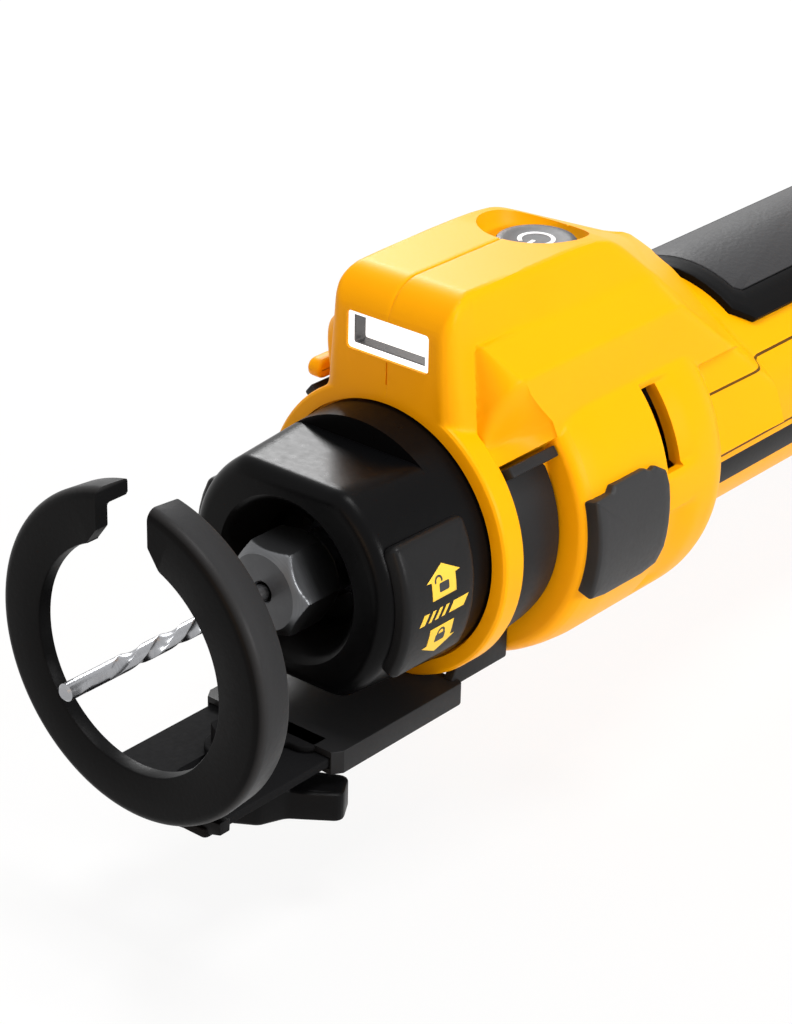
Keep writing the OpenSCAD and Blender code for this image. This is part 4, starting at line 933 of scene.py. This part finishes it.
# The filter covers: one snap-in rubbery plate on each side over the air window, with steps in its
# upper edge to grip it by. A woven screen lies behind each.
cover_front = 85.0
cover_rear = 106.8
cover_girth = 34.5
cover_sunk = 2.6
cover_proud = 1.5
cover_black = moulded_finish("cover_black", (40, 40, 41), (33, 33, 34), 1100.0, 0.36, 0.14, 0.00002, 0.3)
cover_corners = [(cover_front, -11.2), (89.8, -12.2), (101.4, -12.4), (105.6, -11.4), (cover_rear, -7.6),
                 (cover_rear, 5.6), (106.2, 8.6), (103.4, 10.4), (101.8, 9.9), (100.2, 10.9), (90.6, 10.9),
                 (89.6, 9.7), (cover_front, 9.4)]
cover_outline = subdivided(rounded(cover_corners, 0.5, 3), 5)
cover_rows = crowned(cover_outline, body_radius - cover_sunk, body_radius + cover_proud, 0.7)
for side_name, sign in sides:
    add_piece(f"{side_name}_cover", loft(wrapped(cover_rows, cover_girth, sign)), cover_black,
              f"{side_name}_filter", [f"{side_name}_filter_cover"])
dress(metal_finish("woven_screen", (120, 120, 122), (80, 80, 82), 0.4), "filter_screens")

# The handle's rubber: a smooth border and a pebbled pad inside it, both moulded over the housing.
# A thin groove runs between them, and the border's front corners are cut off.
grip_front = 152.0
grip_rear = 238.0
grip_radius = 26.5
grip_foot = 24.0
grip_arc = 44.0
grip_cut = 9.0
pad_front = 157.2
pad_rear = 232.0
pebble_arc = 29.2
pebble_cut = 3.0
groove = 0.12
groove_arc = 0.27
rubber = moulded_finish("smooth_rubber", (12, 12, 13), (9, 9, 10), 1500.0, 0.42, 0.12, 0.00002, 0.05)
pebbled = moulded_finish("pebbled_rubber", (42, 42, 44), (36, 36, 38), 950.0, 0.5, 0.12, 0.00012, 0.3)


def grip_outline(front, rear, half, cut, radius):
    """The border's or the pad's outline in x and degrees from the left side, with its corners cut."""
    corners = [(front, 90 - half + cut), (front + cut / 2, 90 - half), (rear - cut / 2, 90 - half),
               (rear, 90 - half + cut), (rear, 90 + half - cut), (rear - cut / 2, 90 + half),
               (front + cut / 2, 90 + half), (front, 90 + half - cut)]
    return subdivided(rounded(corners, radius, 4), 9)


border_out = grip_outline(grip_front, grip_rear, grip_arc, grip_cut, 1.2)
border_in = grip_outline(pad_front - groove, pad_rear + groove, pebble_arc + groove_arc, pebble_cut, 1.0)
border_steps = [(0.0, grip_foot), (0.0, grip_radius - 0.5), (0.02, grip_radius - 0.15), (0.07, grip_radius),
                (0.35, grip_radius), (0.65, grip_radius), (0.93, grip_radius), (0.98, grip_radius - 0.15),
                (1.0, grip_radius - 0.5), (1.0, grip_foot)]
border_rows = stacked([(border_out * (1 - share) + border_in * share, height)
                       for share, height in border_steps])
add_piece("rubber_border", hoop(wrapped(border_rows, per_degree)), rubber, "tool",
          ["grip_border"])
pebble_outline = grip_outline(pad_front, pad_rear, pebble_arc, pebble_cut, 1.0)
pebble_rows = crowned(pebble_outline, grip_foot, grip_radius, 0.35)
add_piece("pebble_pad", loft(wrapped(pebble_rows, per_degree)), pebbled, "tool", ["grip_pad"])

# The depth guide: a moulded ring with an L-shaped section, open at the top, that rests on the board.
# A lip and a slotted stem below it, moulded with it, slide in the bracket.
guide_front = -1.6
guide_rear = 6.0
guide_radius = 30.5
guide_bore = 21.0
guide_fillet = 2.0
plate_rear = 1.2
rim_bore = 27.2
near_end = -5.5
far_end = 6.4
lip_half = 17.2
lip_low = -31.8
lip_sag = 105.0
stem_half = 14.4
stem_low = -30.6
stem_top = -28.8
stem_slot_half = 2.9
# Distances from the spindle, in metres, where the painted highlight on the guide ring's outer rim begins and
# is full.
sheen_from = 0.0296
sheen_to = 0.0304
ring_black = moulded_finish("guide_black", (12, 12, 13), (9, 9, 10), 1000.0, 0.32, 0.14, 0.00003, 0.08)
# The guide ring's finish: dark plastic with a painted highlight laid over its outer rim, standing in for the
# light it catches.
sheen_painted_black = moulded_finish("sheen_painted_black", (9, 9, 10), (7, 7, 8), 1000.0, 0.32, 0.14, 0.00003, 0.06)
stem_black = moulded_finish("stem_black", (26, 26, 27), (21, 21, 22), 1000.0, 0.6, 0.14, 0.00005, 0.03)


def add_painted_sheen(finish, start, full, colour):
    """Paints a lighter colour over a finish with the distance from the spindle, from start to full: a painted
    highlight where an outer rim catches the light.
    """
    tree = finish.node_tree
    place = add_node(tree, "TexCoord").outputs["Object"]
    flat = add_node(tree, "VectorMath", place, (0.0, 1.0, 1.0), operation="MULTIPLY")
    away = add_node(tree, "VectorMath", flat, operation="LENGTH").outputs["Value"]
    paint_over(finish, add_node(tree, "MapRange", away, start, full), colour)


# The paler rim is painted light, a painted highlight on the ring's outer side, not wear.
add_painted_sheen(sheen_painted_black, sheen_from, sheen_to, srgb(48, 48, 49))
guide_edge = np.column_stack([guide_front + guide_fillet * (1 - np.cos(bend)),
                              guide_radius - guide_fillet * (1 - np.sin(bend))])
guide_profile = np.concatenate([
    [(plate_rear, guide_bore), (guide_front + 0.4, guide_bore), (guide_front + 0.12, guide_bore + 0.12),
     (guide_front, guide_bore + 0.4)], guide_edge,
    [(5.4, 30.1), (5.85, 29.9), (guide_rear, 29.5), (guide_rear, rim_bore + 0.4),
     (guide_rear - 0.4, rim_bore), (plate_rear + 0.5, rim_bore), (plate_rear + 0.15, rim_bore - 0.15),
     (plate_rear, rim_bore - 0.5)]])
gap_corners = [(near_end, 45.0), (near_end, 23.2), (-8.6, 18.8), (-9.6, 12.0), (9.6, 12.0), (8.8, 19.2),
               (far_end, 22.4), (far_end, 45.0)]
guide_gap = loft(facing(slab(rounded(gap_corners, 0.8, 4), -10.0, 15.0)))
add_piece("guide_hoop", carved("guide_hoop", hoop(turned(guide_profile, 200)), [guide_gap]), sheen_painted_black,
          "depth_guide", ["guide_ring"])
stem_plate = loft(slab(rectangle(2.0, 66.0, -stem_half, stem_half, 1.0), stem_low, stem_top, 0.3, 0.3))
stem_slot = loft(slab(rectangle(11.0, 52.0, -stem_slot_half, stem_slot_half, 2.8), -40.0, -20.0))
add_piece("guide_stem", carved("guide_stem", stem_plate, [stem_slot]), stem_black, "depth_guide")
lip_y = np.linspace(-lip_half, lip_half, 25)
lip_shape = np.concatenate([np.column_stack([lip_y, lip_low + lip_y ** 2 / lip_sag]),
                            [(lip_half, -26.6), (0.0, -28.6), (-lip_half, -26.6)]])
add_piece("guide_lip", loft(facing(slab(lip_shape, 2.6, 5.2, 0.25, 0.25))), ring_black, "depth_guide")

# The bracket: a moulded band that hugs the neck from below, with a channel for the guide's stem.
# Its round tongue in front carries the clamp bolt, and the band's ends turn out into small tabs.
channel_half = 16.3
channel_top = -27.3
channel_roof = -28.5
channel_lip = -30.9
channel_low = -31.9
channel_inner = 14.7
channel_mouth = 12.1
channel_steps = ((33.6, 15.0), (35.6, channel_half), (68.0, channel_half), (68.7, channel_half - 0.25),
                 (69.0, channel_half - 0.8))
tongue_front = 19.4
tongue_rear = 37.0
tongue_neck = 31.4
tongue_half = 5.6
tongue_root = 11.4
band_front = 70.5
band_rear = 83.8
band_bore = 24.3
band_ends = (37.0, -220.0)
tab_spans = ((-1, 33.5, 37.6, 29.9), (1, 36.5, 41.0, 30.8))
cheek_front = 67.5
cheek_low = -28.6
cheek_high = -20.5
clamp_place = (25.0, 0.0)
bracket_black = moulded_finish("bracket_black", (36, 36, 37), (30, 30, 31), 900.0, 0.42, 0.12, 0.00002, 0.15)


def channel_outline(half):
    """The channel from the front in y and z: a plate over the stem, two sides and lips under its edges."""
    left = np.array([(-half, channel_top), (-half, channel_low), (-channel_mouth, channel_low),
                     (-channel_mouth, channel_lip), (-channel_inner, channel_lip),
                     (-channel_inner, channel_roof)])
    rounds = [0.2, 0.2, 0.2, 0.2, 0.1, 0.1]
    return rounded(np.concatenate([left, left[::-1] * (-1, 1)]), rounds + rounds[::-1], 4)


channel_rows = np.array([np.insert(channel_outline(half), 0, x, axis=1) for x, half in channel_steps])
tongue_side = np.array([(tongue_front, -tongue_half), (tongue_neck, -tongue_half),
                        (tongue_neck, -tongue_root), (tongue_rear, -tongue_root)])
tongue_rounds = [5.5, 1.5, 3.2, 0.3]
tongue_shape = rounded(np.concatenate([tongue_side, tongue_side[::-1] * (1, -1)]),
                       tongue_rounds + tongue_rounds[::-1], 8)
bolt_hole = loft(upright(turned([(-40.0, 2.6), (-20.0, 2.6)], 32), clamp_place))
tongue = carved("bracket_tongue", loft(slab(tongue_shape, channel_roof, channel_top, 0.2, 0.4)), [bolt_hole])
band_x = np.array([band_front, band_front, 70.8, 72.4, 76.7, 81.4, 83.4, band_rear, band_rear])
band_r = band_bore + np.array([0.0, 1.2, 1.6, 2.0, 2.4, 2.0, 1.6, 1.2, 0.0])
band_angle = np.radians(np.linspace(*band_ends, 100))[:, None]
bracket_parts = [loft(channel_rows), loft(around(band_x, band_angle, band_r))]
cheek_corners = [(cheek_front, cheek_low), (band_rear, cheek_low), (band_rear, cheek_high),
                 (71.5, cheek_high), (cheek_front, -27.0)]
cheek = across(slab(rounded(cheek_corners, 0.5, 3), 12.8, 14.8, 0.3, 0.3))
for sign, low, high, reach in tab_spans:
    tab = slab(subdivided(rectangle(band_front, band_rear, low, high, 0.5), 2), 25.0, reach, 0.0, 0.5)
    bracket_parts.append(loft(wrapped(tab, per_degree, sign)))
    bracket_parts.append(loft(cheek * (1.0, sign, 1.0)))
add_piece("neck_bracket", joined(bracket_parts), bracket_black, "tool", ["guide_bracket"])
add_piece("bracket_tongue", tongue, stem_black, "tool")

# The clamp: a wing knob below the stem, moulded in black plastic, on the bolt that comes down
# through the tongue and the slot. Turning it presses the stem against the bracket.
knob_top = -31.8
knob_low = -39.8
knob_turn = -58.0
wing_half = 20.0
wing_drop = 2.2
knob_quarter = np.array([(wing_half, 3.6), (10.0, 4.4), (5.6, 7.6)])
knob_half = np.concatenate([knob_quarter, knob_quarter[::-1] * (-1, 1)])
knob_rounds = [1.8, 3.0, 3.0, 3.0, 3.0, 1.8]
knob_outline = subdivided(rounded(np.concatenate([knob_half, -knob_half]), knob_rounds * 2, 5), 3)
knob_rows = slab(knob_outline, knob_low, knob_top, 0.9, 0.9)
wing = ramp(np.abs(knob_rows[..., 0]), 6.5, 12.0)
knob_rows[..., 2] -= wing_drop * wing * (knob_rows[..., 2] - knob_low) / (knob_top - knob_low)
knob_rows[..., :2] = spun(knob_rows[..., :2], knob_turn) + clamp_place
add_piece("wing_knob", loft(knob_rows), ring_black, "knob", ["clamp_knob"])
dress(stem_black, "clamp_bolt", "clamp_washer")

# The battery pack: two black moulded halves round ten cells, sliding up onto the rail of the foot.
# A red latch at the bottom of its front locks it, and a gauge button sits on its back.
pack_front = 272.3
pack_split = 283.3
pack_rear = 323.3
pack_half = 37.0
pack_low = -58.0
pack_high = 50.0
pack_outline = rectangle(-pack_half, pack_half, pack_low, pack_high, 9.0, 8)
rail_play = 0.25
rail_floor = -rail_low - rail_play
contact_places = (-10.5, -3.5, 3.5, 10.5)
contact_half = 0.8
latch_half = 9.0
latch_low = -54.0
latch_high = -44.0
hook_half = 7.0
hook_high = -38.0
latch_play = 0.2
latch_ribs = (-52.4, -50.4, -48.4, -46.4)
gauge_height = 23.75
gauge_radius = 4.0
rib_places = np.arange(-46.0, 40.0, 7.0)
rib_edge = 37.6
rib_half = 1.2


def centred(half):
    """The span from minus half to half."""
    return -half, half


front_cuts = [bar(centred(rail_neck + rail_play), (rail_floor, 60.0), (271.0, 276.0), 0.2, steps=2),
              bar(centred(rail_head + rail_play), (rail_floor, 60.0),
                  (rail_head_start - rail_play, rail_rear + rail_play), 0.2, steps=2),
              bar(centred(latch_half + latch_play), (latch_low - latch_play, latch_high + latch_play),
                  (271.0, 282.0), 0.6, steps=3),
              bar(centred(hook_half + latch_play), (-45.0, hook_high + latch_play), (271.0, 277.0), 0.4,
                  steps=3)]
front_cuts.extend(bar((y - contact_half, y + contact_half), (-14.6, 60.0), (277.0, 283.0), 0.2, steps=2)
                  for y in contact_places)
front_solid = loft(facing(slab(pack_outline, pack_front, pack_split, 1.6, 0.3)))
add_piece("pack_front", carved("pack_front", front_solid, front_cuts), black_plastic, "battery",
          ["pack_cover"])
gauge_hole = bar(centred(gauge_radius + latch_play),
                 (gauge_height - gauge_radius - latch_play, gauge_height + gauge_radius + latch_play),
                 (318.0, 330.0), 4.1, steps=8)
rib_cuts = [bar((side - rib_half, side + rib_half), (z, z + 3.0), (292.0, 314.0), 0.6, steps=3)
            for z in rib_places for side in (-rib_edge, rib_edge)]
rear_panel = bar((-24.0, 24.0), (-46.0, 10.0), (322.6, 330.0), 5.0, steps=6)
rear_solid = loft(facing(slab(pack_outline, pack_split, pack_rear, 0.3, 4.5, 6)))
add_piece("pack_rear", carved("pack_rear", rear_solid, [gauge_hole, *rib_cuts, rear_panel]), black_plastic,
          "battery", ["pack_base"])
cell_wrap = moulded_finish("cell_wrap", (20, 110, 118), (14, 94, 102), 300.0, 0.3, 0.1, 0.00001)
dress(cell_wrap, "pack_cells")
latch_red = moulded_finish("latch_red", (176, 30, 24), (160, 26, 22), 900.0, 0.35, 0.12, 0.00002)
latch_parts = [bar(centred(latch_half), (latch_low, latch_high), (271.5, 276.3), 1.2, (0.8, 0.2)),
               bar(centred(hook_half), (latch_high - 0.4, hook_high), (270.3, 274.3), 0.5, (0.4, 0.2))]
latch_parts.extend(bar((-6.5, 6.5), (z, z + 1.0), (271.0, 272.5), 0.4, (0.3, 0.0)) for z in latch_ribs)
add_piece("red_latch", joined(latch_parts), latch_red, "latch", ["pack_latch"])
gauge_rows = turned([(321.3, gauge_radius), (323.4, gauge_radius), (323.8, 3.7), (323.9, 3.2), (323.6, 2.6),
                     (323.6, 0.1)], 48)
add_piece("gauge_cap", loft(gauge_rows + (0.0, 0.0, gauge_height)), button_grey, "gauge",
          ["gauge_button"])
